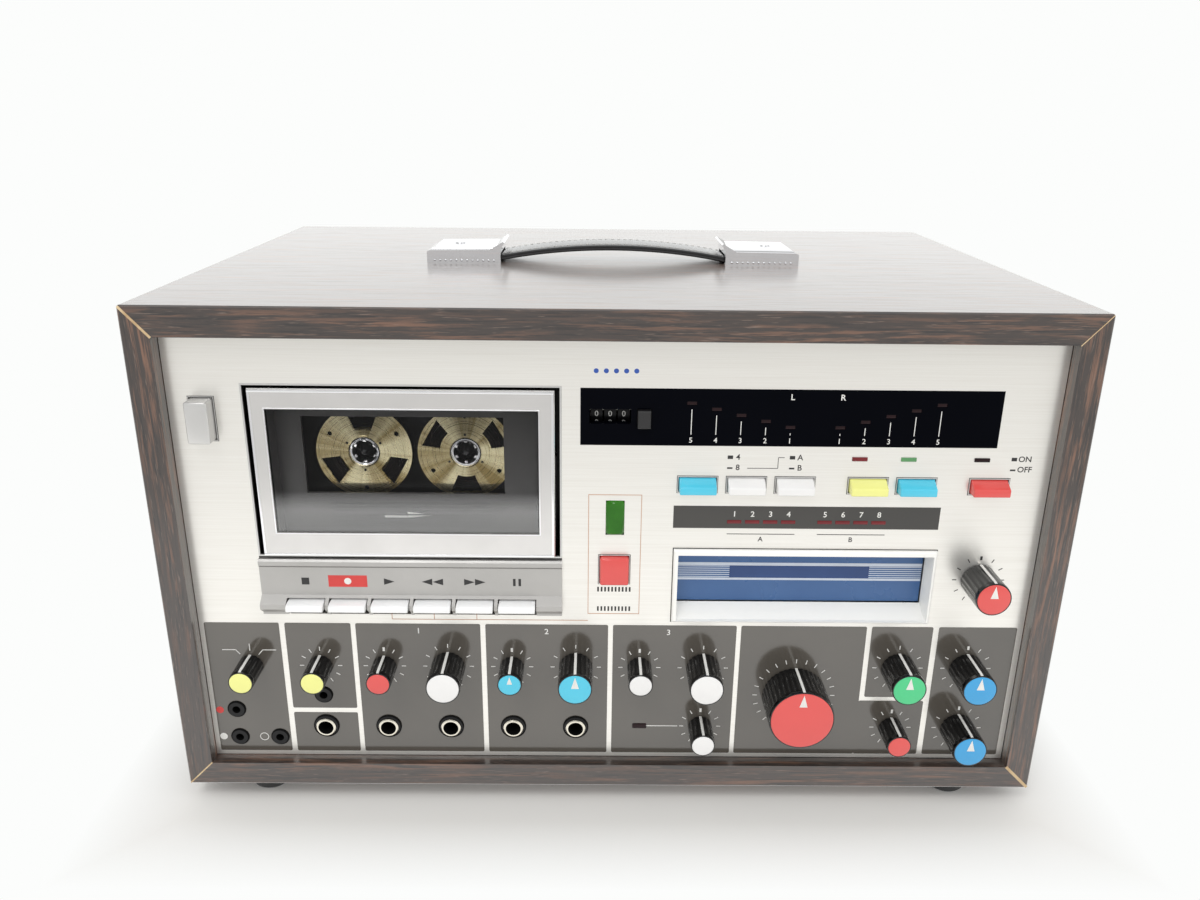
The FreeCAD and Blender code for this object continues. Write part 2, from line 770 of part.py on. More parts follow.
def jack_sockets():
    """Five large and four small sockets; each large one has a bright ring nut in its collar."""
    solids = []
    for x in large_jack_x:
        z = large_jack_z
        ring_radius = large_jack_collar - 1.3
        body = plate(x, z, large_jack_body, large_jack_body, panel_thickness, large_jack_depth)
        body = body.fuse(rod(large_jack_neck, x, z, 0, panel_thickness))
        body = body.fuse(jack_collar(x, z, large_jack_collar, 1.1, 1.2))
        body = body.cut(rod(large_jack_bore, x, z, -3, large_jack_depth - 4))
        ring = turned([(large_jack_bore, -1.2), (ring_radius, -1.2), (ring_radius, -1.7),
                       (ring_radius - 0.4, -2.0), (large_jack_bore, -2.0)], x, z)
        solids += [body, ring]
    for x, z in small_jacks:
        body = plate(x, z, small_jack_body, small_jack_body, panel_thickness, small_jack_depth)
        body = body.fuse(rod(small_jack_neck, x, z, 0, panel_thickness))
        body = body.fuse(jack_collar(x, z, small_jack_collar, 0.6, 0.9))
        solids.append(body.cut(rod(small_jack_bore, x, z, -2, small_jack_depth - 2)))
    save("jack_sockets", *solids)


def key_cover():
    """The apron over the keys, with a fin between each two keys, and the rail under the door."""
    left, right = door_left - door_gap_side, door_right + door_gap_side
    brow = -fin_reach
    apron = [(0, rail_bottom), (-1.6, rail_bottom), (-1.6, slot_top + 1.0), (brow, slot_top - 2.0),
             (brow, slot_top - 4.2), (-2.2, slot_bottom + 2.0), (-2.2, slot_bottom + 0.9),
             (0, slot_bottom + 0.9)]
    cover = side_prism(apron, left, right)
    half = key_width / 2 + key_side_gap
    cover = bored(cover, *[block(x - half, x + half, -8, 1, slot_bottom - 1, slot_top) for x in key_x])
    rail = side_prism([(0, rail_bottom), (-1.4, rail_bottom), (-2.2, rail_bottom + 0.8),
                       (-2.2, rail_top - 0.8), (-1.4, rail_top), (0, rail_top)], left, right)
    save("key_cover", *cover.Solids, rail)


def piano_key(name, x):
    """A key cap on an arm that turns on the key shaft."""
    half = key_width / 2
    nose = -key_reach
    root = panel_thickness + 1.5
    cap = side_prism([(root, key_top), (nose + 1.4, key_top - 0.5), (nose + 0.4, key_top - 1.0),
                      (nose, key_top - 1.8), (nose, key_bottom + 0.4), (nose + 0.4, key_bottom),
                      (root, key_bottom)], x - half, x + half)
    arm = side_prism([(root - 0.5, key_top), (root - 0.5, key_bottom), (key_shaft_y, key_shaft_z - 3.5),
                      (key_shaft_y, key_shaft_z + 3.5)], x - 1.5, x + 1.5)
    key = cap.fuse([arm, axle(key_hub_radius, key_shaft_y, key_shaft_z, x - 3.0, x + 3.0)])
    key = key.cut(axle(key_shaft_radius + running_gap, key_shaft_y, key_shaft_z, x - 4, x + 4))
    save(name, key.removeSplitter())


def cassette_well():
    """The open tub behind the door, with the tape drive's bearings, the key shaft and the motor."""
    roof = door_top + door_gap_top + 0.2
    low = rail_bottom + 2.5
    shaft_front, shaft_back, shaft_low = key_shaft_y - 7, key_shaft_y + 7, key_shaft_z - 7
    cheek = [(panel_thickness, low), (shaft_front, low), (shaft_front, shaft_low), (shaft_back, shaft_low),
             (shaft_back, low + 3), (well_back, low + 3), (well_back, roof + well_wall),
             (panel_thickness, roof + well_wall)]
    tub = side_prism(cheek, well_left - well_wall, well_left)
    tub = tub.fuse([
        side_prism(cheek, well_right, well_right + well_wall),
        block(well_left, well_right, panel_thickness, well_back, roof, roof + well_wall),
        block(well_left, well_right, well_back_y, well_back, low, roof),
        block(guide_pins[0][0] - 12, guide_pins[1][0] + 12, well_back_y, well_back, head_plate_low - 2, low),
    ])
    bores = []
    for x, z, shaft, wall in ((hubs[0], hub_z, 1.5, 2.1), (hubs[1], hub_z, 1.5, 2.1),
                              (capstan_x, capstan_z, capstan_radius, 2.75)):
        tub = tub.fuse(rod(shaft + wall, x, z, well_back_y, bearing_end))
        bores.append(rod(shaft + running_gap, x, z, well_back_y - 1, bearing_end + 1))
    tub = bored(tub, *bores)
    pins = [rod(guide_pin_radius, x, z, head_plate_y - 0.8, well_back_y) for x, z in guide_pins]
    tub = tub.fuse(pins)
    y0, y1 = eject_guide_front, eject_guide_front + eject_guide_length
    half = eject_guide_size / 2
    guide = block(eject_x - half, well_left - well_wall, y0, y1, eject_z - half, eject_z + half)
    guide = guide.cut(plate(eject_x, eject_z, eject_stem_width + 2 * slide_gap,
                            eject_stem_height + 2 * slide_gap, y0 - 1, y1 + 1))
    shaft = axle(key_shaft_radius, key_shaft_y, key_shaft_z, well_left, well_right)
    belt_middle = flywheel_front + 4.5
    motor_back = belt_middle - belt_width
    pulley_end = belt_middle + belt_width
    motor = turned([(0, well_back), (motor_radius, well_back), (motor_radius, motor_back - 2),
                    (motor_radius - 1.5, motor_back), (motor_pulley_radius, motor_back),
                    (motor_pulley_radius, pulley_end), (0, pulley_end)], motor_x, motor_z)
    y0, y1 = belt_middle - belt_width / 2, belt_middle + belt_width / 2
    rim = flywheel_radius + running_gap
    inside = belt_loop(motor_x, motor_z, motor_pulley_radius, capstan_x, capstan_z, rim, y0 - 1, y1 + 1)
    belt = belt_loop(motor_x, motor_z, motor_pulley_radius + belt_thickness, capstan_x, capstan_z,
                     rim + belt_thickness, y0, y1).cut(inside)
    save("cassette_well", tub.removeSplitter(), guide, shaft, motor, belt)


def door_arm(x0, x1):
    """A side arm that carries the holder down to the pivot."""
    arm = block(x0, x1, arm_front, arm_front + arm_width, pivot_z, hub_z - arm_below_hubs)
    arm = arm.fuse(axle(arm_width, pivot_y, pivot_z, x0, x1))
    return arm.cut(axle(pivot_radius + running_gap, pivot_y, pivot_z, x0 - 1, x1 + 1))


def door():
    frame = block(door_left, door_right, door_front, 0, door_bottom, door_top)
    frame = frame.makeChamfer(1.0, front_edges(frame, door_front))
    frame = frame.cut(block(pane_left, pane_right, door_front - 1, 1, pane_bottom, pane_top))
    low = cassette_low - holder_margin
    top = door_top - 2.3
    crest = top - 3.0
    rear = cassette_back + holder_wall - 0.1
    mask_back = mask_front + holder_wall
    mask = block(holder_left, holder_right, mask_front, mask_back, low, crest)
    mask_top = hub_z + mask_height / 2 + 0.4
    mask = mask.cut(block(cassette_left + mask_inset_left, cassette_right - mask_inset_right,
                          mask_front - 1, mask_back + 1, mask_top - mask_height, mask_top))
    holder = mask.fuse([
        block(holder_left, holder_left + holder_wall, 0, rear, low, top),
        block(holder_right - holder_wall, holder_right, 0, rear, low, top),
        block(holder_left, holder_right, 0, rear, low, cassette_low),
    ])
    holder = holder.cut(block(hub_x - head_gap_left, hub_x + head_gap_right, mask_back, rear + 1,
                              low - 1, cassette_low + 0.1))
    for x0, x1, lip0, lip1 in ((holder_left, cassette_left, holder_left, holder_left + holder_lip_width),
                               (cassette_right, holder_right, holder_right - holder_lip_width, holder_right)):
        holder = holder.fuse([block(x0, x1, cassette_front, cassette_back, cassette_low, crest),
                              block(lip0, lip1, cassette_back, rear, hub_z - lip_below_hubs, crest)])
    arms = []
    for x0, x1, web0, web1 in ((door_left, door_left + arm_thickness, door_left, holder_left),
                               (door_right - arm_thickness, door_right, holder_right, door_right)):
        web = block(web0, web1, arm_front, arm_front + holder_wall, low, hub_z - arm_below_hubs)
        arms.append(door_arm(x0, x1).fuse(web).removeSplitter())
    save("door_frame", frame, holder.removeSplitter(), *arms)
    save("door_window", block(pane_left, pane_right, -pane_thickness, 0, pane_bottom, pane_top))
    cassette()


def cassette():
    """A clear shell with its thicker lower part, drive holes and screw wells."""
    front, back, low = cassette_front, cassette_back, cassette_low
    high = low + cassette_height
    shell = block(cassette_left, cassette_right, front, back, low, high)
    corners = [e for e in shell.Edges if abs(e.BoundBox.YLength - cassette_thickness) < 1e-6]
    shell = shell.makeFillet(1.5, corners)
    thick_high = low + cassette_thick_height
    thick_part = [(hub_x - 36, low), (hub_x + 36, low), (hub_x + 33, thick_high), (hub_x - 33, thick_high)]
    shell = shell.fuse(front_prism(thick_part, front - cassette_thick_step, back + cassette_thick_step))
    cavity_radius = reel_radius + 1.0
    y0, y1 = front + cassette_skin, back - cassette_skin
    cavity = block(hubs[0], hubs[1], y0, y1, hub_z - cavity_radius, hub_z + cavity_radius)
    cavity = cavity.fuse([rod(cavity_radius, x, hub_z, y0, y1) for x in hubs])
    cuts = [rod(cassette_hub_hole, x, hub_z, front - 1, back + 1) for x in hubs]
    for x in (capstan_x, 2 * hub_x - capstan_x):
        cuts += [rod(3.0, x, capstan_z, front - 3, back + 3),
                 plate(x, low + 2.4, 9.5, 7.2, front - 3, back + 3)]
    for x0, x1 in ((hub_x - 29.0, hub_x - 19.0), (hub_x - 8.5, hub_x + 8.5)):
        cuts.append(block(x0, x1, front - 3, back + 3, low - 1, low + 3))
    for x in (cassette_left + 5, cassette_right - 5):
        cuts += [rod(1.6, x, z, front - 1, front + 0.8) for z in (low + 5, high - 5)]
    save("cassette_shell", bored(shell.cut(cavity), *cuts).removeSplitter())


def reel(name, x):
    """A metal reel: toothed hub, front flange with three windows, rear flange and the tape pack."""
    front = cassette_front + 1.9
    back = front + 5.0
    z = hub_z
    flange = 0.7
    hub = turned([(5.2, front), (7.6, front), (7.6, front + flange), (reel_hub_radius, front + flange),
                  (reel_hub_radius, back), (5.2, back)], x, z)
    tooth = block(x - 0.6, x + 0.6, front + 1.2, back, z + 4.1, z + 5.6)
    hub = hub.fuse(around(tooth, x, z, 6))
    face = turned([(7.6, front), (reel_radius, front), (reel_radius, front + flange),
                   (7.6, front + flange)], x, z)
    inner, outer = z + 9.6, z + reel_radius - 2.8
    window = front_prism([(x - 3.4, inner), (x + 3.4, inner), (x + 6.6, outer), (x - 6.6, outer)],
                         front - 1, front + 1)
    hole = rod(1.0, x, z + reel_radius - 4.0, front - 1, front + 1)
    face = bored(face, *around(window, x, z, 3, 60), *around(hole, x, z, 3))
    rear = turned([(reel_hub_radius, back - 0.5), (reel_radius, back - 0.5), (reel_radius, back),
                   (reel_hub_radius, back)], x, z)
    pack = turned([(reel_hub_radius, front + 0.9), (tape_pack_radius, front + 0.9),
                   (tape_pack_radius, back - 0.7), (reel_hub_radius, back - 0.7)], x, z)
    save(name, hub.removeSplitter(), face, rear, pack)


def spindle(name, x):
    """A finned drive tip on a shaft, with a reel table in front and a grooved pulley behind."""
    z = hub_z
    tip = cassette_front + 1.5
    shoulder = tip + 5.4
    table = well_back_y - 2.8
    core = turned([(0, tip), (0.9, tip), (1.5, tip + 0.6), (spindle_radius, shoulder),
                   (spindle_radius, table),
                   (9.0, table), (9.0, table + 1.2), (1.5, table + 1.2), (1.5, spindle_end - 2.6),
                   (13.0, spindle_end - 2.6), (13.0, spindle_end - 1.9), (11.8, spindle_end - 1.2),
                   (13.0, spindle_end - 0.6), (13.0, spindle_end), (0, spindle_end)], x, z)
    root = spindle_radius - 0.6
    crest = spindle_radius + 1.2
    fin_end = table + 0.2
    fin = side_prism([(tip + 3.4, z + root), (tip + 4.8, z + crest), (fin_end, z + crest),
                      (fin_end, z + root)], x - 0.5, x + 0.5)
    save(name, core.fuse(around(fin, x, z, 3, 30)).removeSplitter())


def wheel_profile(shaft, radius, near, web):
    """Half a flywheel's section as (radius, distance) points: a hub, a thin web and a heavy rim."""
    hub = 6
    bore = radius - 6
    far = near + 9
    front, back = near + web, near + web + 3
    return [(shaft, near), (hub, near), (hub, front), (bore, front), (bore, near), (radius, near),
            (radius, far), (bore, far), (bore, back), (hub, back), (hub, far), (shaft, far)]


def capstan_flywheel():
    tip = cassette_front + 1.9
    rim = wheel_profile(0, flywheel_radius, flywheel_front, 3)[1:]
    outline = [(0, tip), (capstan_radius, tip), (capstan_radius, flywheel_front)] + rim
    save("capstan_flywheel", turned(outline, capstan_x, capstan_z))


def head_plate():
    """The sliding plate that lifts the heads and the pinch roller to the tape."""
    y0, y1 = head_plate_y, head_plate_y + head_plate_thickness
    high = head_plate_high
    left = hub_x - head_plate_left
    solid = block(left, left + head_plate_width, y0, y1, head_plate_low, high)
    reach = guide_pin_radius + running_gap * 2
    for x, z in guide_pins:
        slot = rod(reach, x, z, y0 - 1, y1 + 1).fuse([
            rod(reach, x, z - head_travel, y0 - 1, y1 + 1),
            block(x - reach, x + reach, y0 - 1, y1 + 1, z - head_travel, z)])
        solid = solid.cut(slot)
    heads = [block(hub_x - 6.2, hub_x + 6.2, 12.8, y0, high - 7.0, high + 0.2),
             block(hub_x - 28, hub_x - 20, 13.4, y0, high - 7.0, high)]
    roller_z = capstan_z - capstan_radius - roller_radius - head_travel - 0.1
    roller_y = 14.6
    yoke_front = 21.2
    yoke = block(capstan_x - 2.5, capstan_x + 2.5, yoke_front, y0, high - 9.0, roller_z + 2)
    yoke = yoke.fuse(rod(1.0, capstan_x, roller_z, roller_y - 0.6, yoke_front))
    roller = rod(roller_radius, capstan_x, roller_z, roller_y, yoke_front - 0.6)
    roller = roller.cut(rod(1.0, capstan_x, roller_z, roller_y - 1, yoke_front))
    save("head_plate", solid, *heads, yoke, roller)


def button(name, x, z, opening, reach, stem, stem_end, bevel, play=slide_gap, face_height=None):
    """A cap with a flange behind the panel and a stem; a low front face gives it a sloping top."""
    width, height = opening[0] - 2 * play, opening[1] - 2 * play
    flange_front = panel_thickness + slide_gap
    cap = cap_block(x, z, width, height, -reach, flange_front, bevel)
    if face_height:
        low, high = z - height / 2, z + height / 2
        above = side_prism([(-reach - 1, low + face_height), (-reach, low + face_height), (-0.2, high),
                            (-0.2, high + 1), (-reach - 1, high + 1)], x - width, x + width)
        cap = cap.cut(above)
    cap = cap.fuse([plate(x, z, width + 2.4, height + 2.4, flange_front, flange_front + 1.4),
                    plate(x, z, stem[0], stem[1], flange_front, stem_end)])
    save(name, cap.removeSplitter())


def counter_reset():
    flange_front = window_rear + slide_gap
    cap = cap_block(reset_x, reset_z, reset_width, reset_height, -3.0, flange_front, 0.5)
    cap = cap.fuse([plate(reset_x, reset_z, reset_width + 1.6, reset_height + 1.6,
                          flange_front, flange_front + 1.2),
                    rod(reset_stem_radius, reset_x, reset_z, flange_front, counter_back + 0.6)])
    save("counter_reset", cap.removeSplitter())


def counter_wheel(name, x):
    half = wheel_width / 2
    y, z = wheel_y, wheel_z
    wheel = axle(wheel_radius, y, z, x - half, x + half)
    for x0, x1 in ((x - half, x - half + 0.8), (x + half - 0.8, x + half)):
        wheel = wheel.cut(axle(wheel_radius - 1.2, y, z, x0, x1).cut(axle(2.4, y, z, x0, x1)))
    save(name, wheel.cut(axle(wheel_shaft_radius + running_gap, y, z, x - 4, x + 4)))


def control_posts():
    """Places between the controls for the posts that hold the control plate to the panel."""
    high, low = upper_row_z + 10.0, lower_row_z - 8.8
    between_channels = (channel_x[2] + channel_x[3]) / 2
    between_tone = (master_x + echo_x) / 2
    return [((selector_x + channel_x[0]) / 2, high), (between_channels, high),
            ((channel_x[4] + channel_x[5]) / 2, high), (between_tone, high), (between_channels, low),
            ((channel_x[6] + master_x) / 2, low), (between_tone, low),
            (panel_right - post_inset, (lower_row_z + tone_row_z) / 2)]


def chassis():
    """The base plate, bent up at the front into the plate that carries the controls."""
    y0, y1 = control_plate_y, control_plate_y + sheet
    plate_top = upper_row_z + 16.0
    inset = 6.8
    base = block(panel_left + 2, panel_right - 2, y0, cover_front - cleat_size - 0.4, inner_low, base_top)
    control = block(panel_left + inset, panel_right - inset, y0, y1, inner_low, plate_top)
    speed_x, speed_z, _ = knobs["knob_tape_speed"]
    speed_half = panel_right - inset - speed_x
    control = control.fuse(block(speed_x - speed_half, speed_x + speed_half, y0, y1,
                                 plate_top, speed_z + 14.0))
    holes = [rod(pot_bush_radius, x, z, y0 - 1, y1 + 1) for x, z, _ in knobs.values()]
    large, small = large_jack_body + 1, small_jack_body + 1
    holes += [plate(x, large_jack_z, large, large, y0 - 1, y1 + 1) for x in large_jack_x]
    holes += [plate(x, z, small, small, y0 - 1, y1 + 1) for x, z in small_jacks]
    solids = list(bored(base.fuse(control).removeSplitter(), *holes).Solids)
    solids += [rod(post_radius, x, z, panel_thickness, y0) for x, z in control_posts()]
    angle_low = inner_high - 17.8
    for side in (-1, 1):
        x0, x1 = sorted((side * panel_right, side * (panel_right - 9)))
        angle = block(x0, x1, panel_thickness, panel_thickness + sheet, angle_low, inner_high)
        x0, x1 = sorted((side * panel_right, side * (panel_right - sheet)))
        side_leaf = block(x0, x1, panel_thickness, 16.0, angle_low, inner_high)
        solids.append(angle.fuse(side_leaf).removeSplitter())
    for x in (door_left + arm_thickness + 0.3, door_right - arm_thickness - 2.3):
        solids.append(door_bracket(x))
    posts = [(slot_left + 4.8, 40.0), (slot_right - 5.0, 60.0),
             (slot_left + 4.8, tray_depth - 4), (slot_left + 32.8, tray_depth - 4)]
    solids += [pillar(3.5, x, y, base_top, tray_floor_low) for x, y in posts]
    bore = cartridge_shaft_radius + running_gap
    socket_top = thrust_height + 6
    solids.append(spun([(bore, thrust_height), (bore, socket_top), (7, socket_top), (9, base_top),
                        (0, base_top), (0, thrust_height)], cartridge_flywheel_x, cartridge_flywheel_y))
    solids.append(counter_frame())
    save("chassis", *solids)


def door_bracket(x):
    """An upright plate just inside a door arm, with the pin that the arm turns on."""
    upright = block(x, x + 2.0, pivot_y - 6, pivot_y + 6, base_top, pivot_z + 6)
    if x < (door_left + door_right) / 2:
        pin = axle(pivot_radius, pivot_y, pivot_z, door_left - 0.6, x)
    else:
        pin = axle(pivot_radius, pivot_y, pivot_z, x + 2.0, door_right + 0.6)
    return upright.fuse(pin)


def counter_frame():
    left = wheel_x[0] - wheel_width / 2 - 0.6
    right = wheel_x[-1] + wheel_width / 2 + 0.6
    low, high = wheel_z - 5, wheel_z + 5
    back = block(left - sheet, reset_x + 4, counter_back - sheet, counter_back, low, high)
    back = back.cut(rod(reset_stem_radius + slide_gap, reset_x, reset_z, counter_back - 3, counter_back + 1))
    frame = back.fuse([block(left - sheet, left, window_rear, counter_back, low, high),
                       block(right, right + sheet, window_rear, counter_back, low, high),
                       axle(wheel_shaft_radius, wheel_y, wheel_z, left, right)])
    return frame.removeSplitter()


def push_switch(x, z):
    body = plate(x, z, switch_body, switch_body, switch_front, switch_board_y)
    bore = push_stem + 2 * slide_gap
    return body.cut(plate(x, z, bore, bore, switch_front - 1, switch_board_y - 2))


def board(x0, x1, z0, z1, y, posts, post_radius, post_front):
    """An upright circuit board on posts."""
    solids = [block(x0, x1, y, y + board_thickness_pcb, z0, z1)]
    return solids + [rod(post_radius, x, z, post_front, y) for x, z in posts]


def circuit_boards():
    """The lamp and switch boards behind the panel, and the main board and power supply on the base."""
    x0, x1 = level_left_x[0] - 8.4, window_right + 5.0
    lamp_posts = [(x0 + 3, window_top - 1.0), ((level_left_x[-1] + level_right_x[0]) / 2, window_top - 1.0),
                  (window_right - 15.0, window_top - 1.0), (window_right - 15.0, window_bottom + 2.5)]
    solids = board(x0, x1, status_z - 3.5, window_top + 1.5, lamp_board_y, lamp_posts, 1.8, window_rear)
    track_posts = [(track_x[0] - 4.1, track_z + 3.8), (track_x[-1] + 4.2, track_z + 3.8)]
    solids += board(track_x[0] - 6.1, track_x[-1] + 6.2, track_z - 6.2, track_z + 5.8, panel_thickness + 2,
                    track_posts, 1.6, panel_thickness)
    x0, x1 = push_x[0] - 15.5, push_x[-1] + 15.5
    solids += board(x0, x1, push_z - 7, push_z + 7, switch_board_y, [(x0 + 2.5, push_z), (x1 - 2.5, push_z)],
                    2.4, panel_thickness)
    solids += [push_switch(x, push_z) for x in push_x]
    x0, x1 = middle_x - 12.6, middle_x + 12.9
    post_z = (select_z + green_z) / 2
    solids += board(x0, x1, select_z - 9.7, green_z + 6.5, switch_board_y,
                    [(x0 + 2.5, post_z), (x1 - 2.5, post_z)], 2.0, panel_thickness)
    solids.append(push_switch(middle_x, select_z))
    save("circuit_boards", *solids, *power_supply())


def power_supply():
    back = cover_front - cleat_size - 4.0
    low = base_top + main_board_rise
    x0, x1 = -main_board_length / 2 - 7, main_board_length / 2 - 7
    y0, y1 = back - main_board_width, back
    solids = [block(x0, x1, y0, y1, low, low + board_thickness_pcb)]
    solids += [pillar(3.0, x, y, base_top, low) for x in (x0 + 5, x1 - 5) for y in (y0 + 5, y1 - 5)]
    top = low + board_thickness_pcb
    solids += [pillar(capacitor_radius, x0 + reach, y0 + 18, top, top + capacitor_height)
               for reach in (20.0, 46.0)]
    x0, y0 = x1 + 14, back - sink_depth
    sink = block(x0, x0 + sink_width, y0, y0 + sink_web, base_top, base_top + sink_height)
    fin_pitch = (sink_width - 3) / (sink_fins - 1)
    fins = []
    for i in range(sink_fins):
        x = x0 + 0.5 + fin_pitch * i
        fins.append(block(x, x + 2.0, y0 + sink_web, back, base_top, base_top + sink_height))
    solids.append(sink.fuse(fins).removeSplitter())
    x1 = -main_board_length / 2 - 27
    x0 = x1 - transformer_width
    y1 = back - winding_overhang
    y0 = y1 - transformer_depth
    core = block(x0, x1, y0, y1, base_top, base_top + transformer_height)
    winding = block(x0 + 8, x1 - 8, y0 - winding_overhang, y1 + winding_overhang, base_top + 10,
                    base_top + transformer_height - 10)
    solids.append(core.fuse(winding).removeSplitter())
    return solids


def cartridge_bezel():
    """A flange on the panel with a throat behind it, and a sill that slopes down to the front."""
    flange = block(bezel_left, bezel_right, -bezel_proud, 0, bezel_low, bezel_high)
    flange = flange.makeChamfer(0.6, front_edges(flange, -bezel_proud))
    throat = block(slot_left - throat_wall, slot_right + throat_wall, 0, throat_depth,
                   sill_front - throat_wall, slot_roof + throat_wall)
    slope = sill_rise / throat_depth
    beyond = throat_depth + 1
    opening = side_prism([(-3, sill_front), (0, sill_front), (throat_depth, sill_back),
                          (beyond, sill_back + slope), (beyond, slot_roof), (-3, slot_roof)],
                         slot_left, slot_right)
    save("cartridge_bezel", flange.fuse(throat).cut(opening).removeSplitter())


def cartridge_flap():
    """A ribbed door that hangs from a pin across the tray."""
    top = flap_pivot_z
    back = flap_front + flap_thickness
    leaf = block(flap_left, flap_right, flap_front, back, flap_bottom, top)
    pin = axle(flap_pin_radius, flap_pivot_y, top, tray_left - sheet + 0.2, tray_right + sheet - 0.2)
    rim = axle(flap_pin_radius, flap_pivot_y, top, flap_left, flap_right)
    ribs = [block(x - 0.6, x + 0.6, back, back + 1.2, flap_bottom + 1, top - 4)
            for x in (flap_left + 8, (flap_left + flap_right) / 2, flap_right - 8)]
    save("cartridge_flap", leaf.fuse([rim, pin] + ribs).removeSplitter())


def cartridge_tray():
    """The metal bay that takes the cartridge, with its guides, head block, motor and belt."""
    end = tray_depth
    top = tray_floor_low + sheet
    x, y = cartridge_flywheel_x, cartridge_flywheel_y
    bush_low = tray_floor_low - 9
    floor = block(tray_left - sheet, tray_right + sheet, tray_front + 2.6, end, tray_floor_low, top)
    floor = floor.fuse(pillar(cartridge_shaft_radius + 3, x, y, bush_low, tray_floor_low))
    floor = floor.cut(pillar(cartridge_shaft_radius + running_gap, x, y, bush_low - 1, top + 1))
    walls = []
    for x0 in (tray_left - sheet, tray_right):
        wall = block(x0, x0 + sheet, tray_front, end, top, tray_roof_low)
        pin_hole = axle(flap_pin_radius + running_gap, flap_pivot_y, flap_pivot_z, x0 - 1, x0 + sheet + 1)
        walls.append(wall.cut(pin_hole))
    roof = block(tray_left - sheet, tray_right + sheet, tray_front, end, tray_roof_low, tray_roof_low + sheet)
    guide_width = (tray_right - tray_left - cartridge_width) / 2
    guides = [block(x0, x0 + guide_width, 42.0, 112.0, top, top + guide_height)
              for x0 in (tray_left, tray_right - guide_width)]
    head_x = slot_left + 40.8
    head = block(head_x - 6, head_x + 6, end - 16, end - 4, top + 2, top + 17)
    head = head.fuse(block(head_x - 10, head_x + 10, end - 15, end - 1, top, top + 2))
    x, y = cartridge_motor_x, cartridge_motor_y
    belt_z = cartridge_flywheel_z + 5.5
    low = tray_floor_low - cartridge_motor_depth
    motor = spun([(0, tray_floor_low), (cartridge_motor_radius, tray_floor_low),
                  (cartridge_motor_radius, low + 2),
                  (cartridge_motor_radius - 2, low), (motor_pulley_radius, low),
                  (motor_pulley_radius, belt_z - belt_width), (0, belt_z - belt_width)], x, y)
    save("cartridge_tray", floor, *walls, roof, *guides, head, motor, cartridge_belt(belt_z))


def cartridge_belt(middle_z):
    """A flat belt between the motor and the flywheel, drawn lying along y and turned flat."""
    rim = cartridge_flywheel_radius + running_gap
    half = belt_width / 2
    run = (cartridge_motor_x, -cartridge_motor_y, motor_pulley_radius,
           cartridge_flywheel_x, -cartridge_flywheel_y, rim)
    inside = belt_loop(*run, -half - 1, half + 1)
    x0, z0, r0, x1, z1, r1 = run
    belt = belt_loop(x0, z0, r0 + belt_thickness, x1, z1, r1 + belt_thickness, -half, half).cut(inside)
    belt.rotate(Vector(0, 0, 0), along_x, 90)
    belt.translate(Vector(0, 0, middle_z))
    return belt


def cartridge_flywheel():
    near = cartridge_flywheel_z
    shaft = cartridge_shaft_radius
    rim = wheel_profile(shaft, cartridge_flywheel_radius, near, 3)
    low, high = thrust_height + 0.4, tray_floor_low + 21.0
    outline = [(0, low), (shaft, low)] + rim + [(shaft, high), (0, high)]
    save("cartridge_flywheel", spun(outline, cartridge_flywheel_x, cartridge_flywheel_y))


def build():
    os.makedirs("parts", exist_ok=True)
    cabinet()
    rear_cover()
    feet()
    handle()
    front_panel()
    meter_window()
    indicator_lamps()
    for name, (x, z, size) in knobs.items():
        knob(name, x, z, size)
    control_pots()
    jack_sockets()
    key_cover()
    for name, x in zip(key_names, key_x):
        piano_key(name, x)
    cassette_well()
    door()
    for word, x in zip(("left", "right"), hubs):
        reel("reel_" + word, x)
        spindle("spindle_" + word, x)
    capstan_flywheel()
    head_plate()
    stem = (push_stem, push_stem)
    for name, x in zip(push_names, push_x):
        button(name, x, push_z, (push_width, push_height), push_reach, stem, push_stem_end, 0.6,
               push_play, push_face_height)
    button("button_auto_select", middle_x, select_z, (select_width, select_height), select_reach,
           stem, push_stem_end, 1.0)
    button("button_eject", eject_x, eject_z, (eject_width, eject_height), eject_reach,
           (eject_stem_width, eject_stem_height), well_back_y, 0.8)
    counter_reset()
    for name, x in zip(("counter_hundreds", "counter_tens", "counter_units"), wheel_x):
        counter_wheel(name, x)
    chassis()
    circuit_boards()
    cartridge_bezel()
    cartridge_flap()
    cartridge_tray()
    cartridge_flywheel()


build()
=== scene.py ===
import json
import math

import bmesh
import bpy
from mathutils import Matrix, Vector


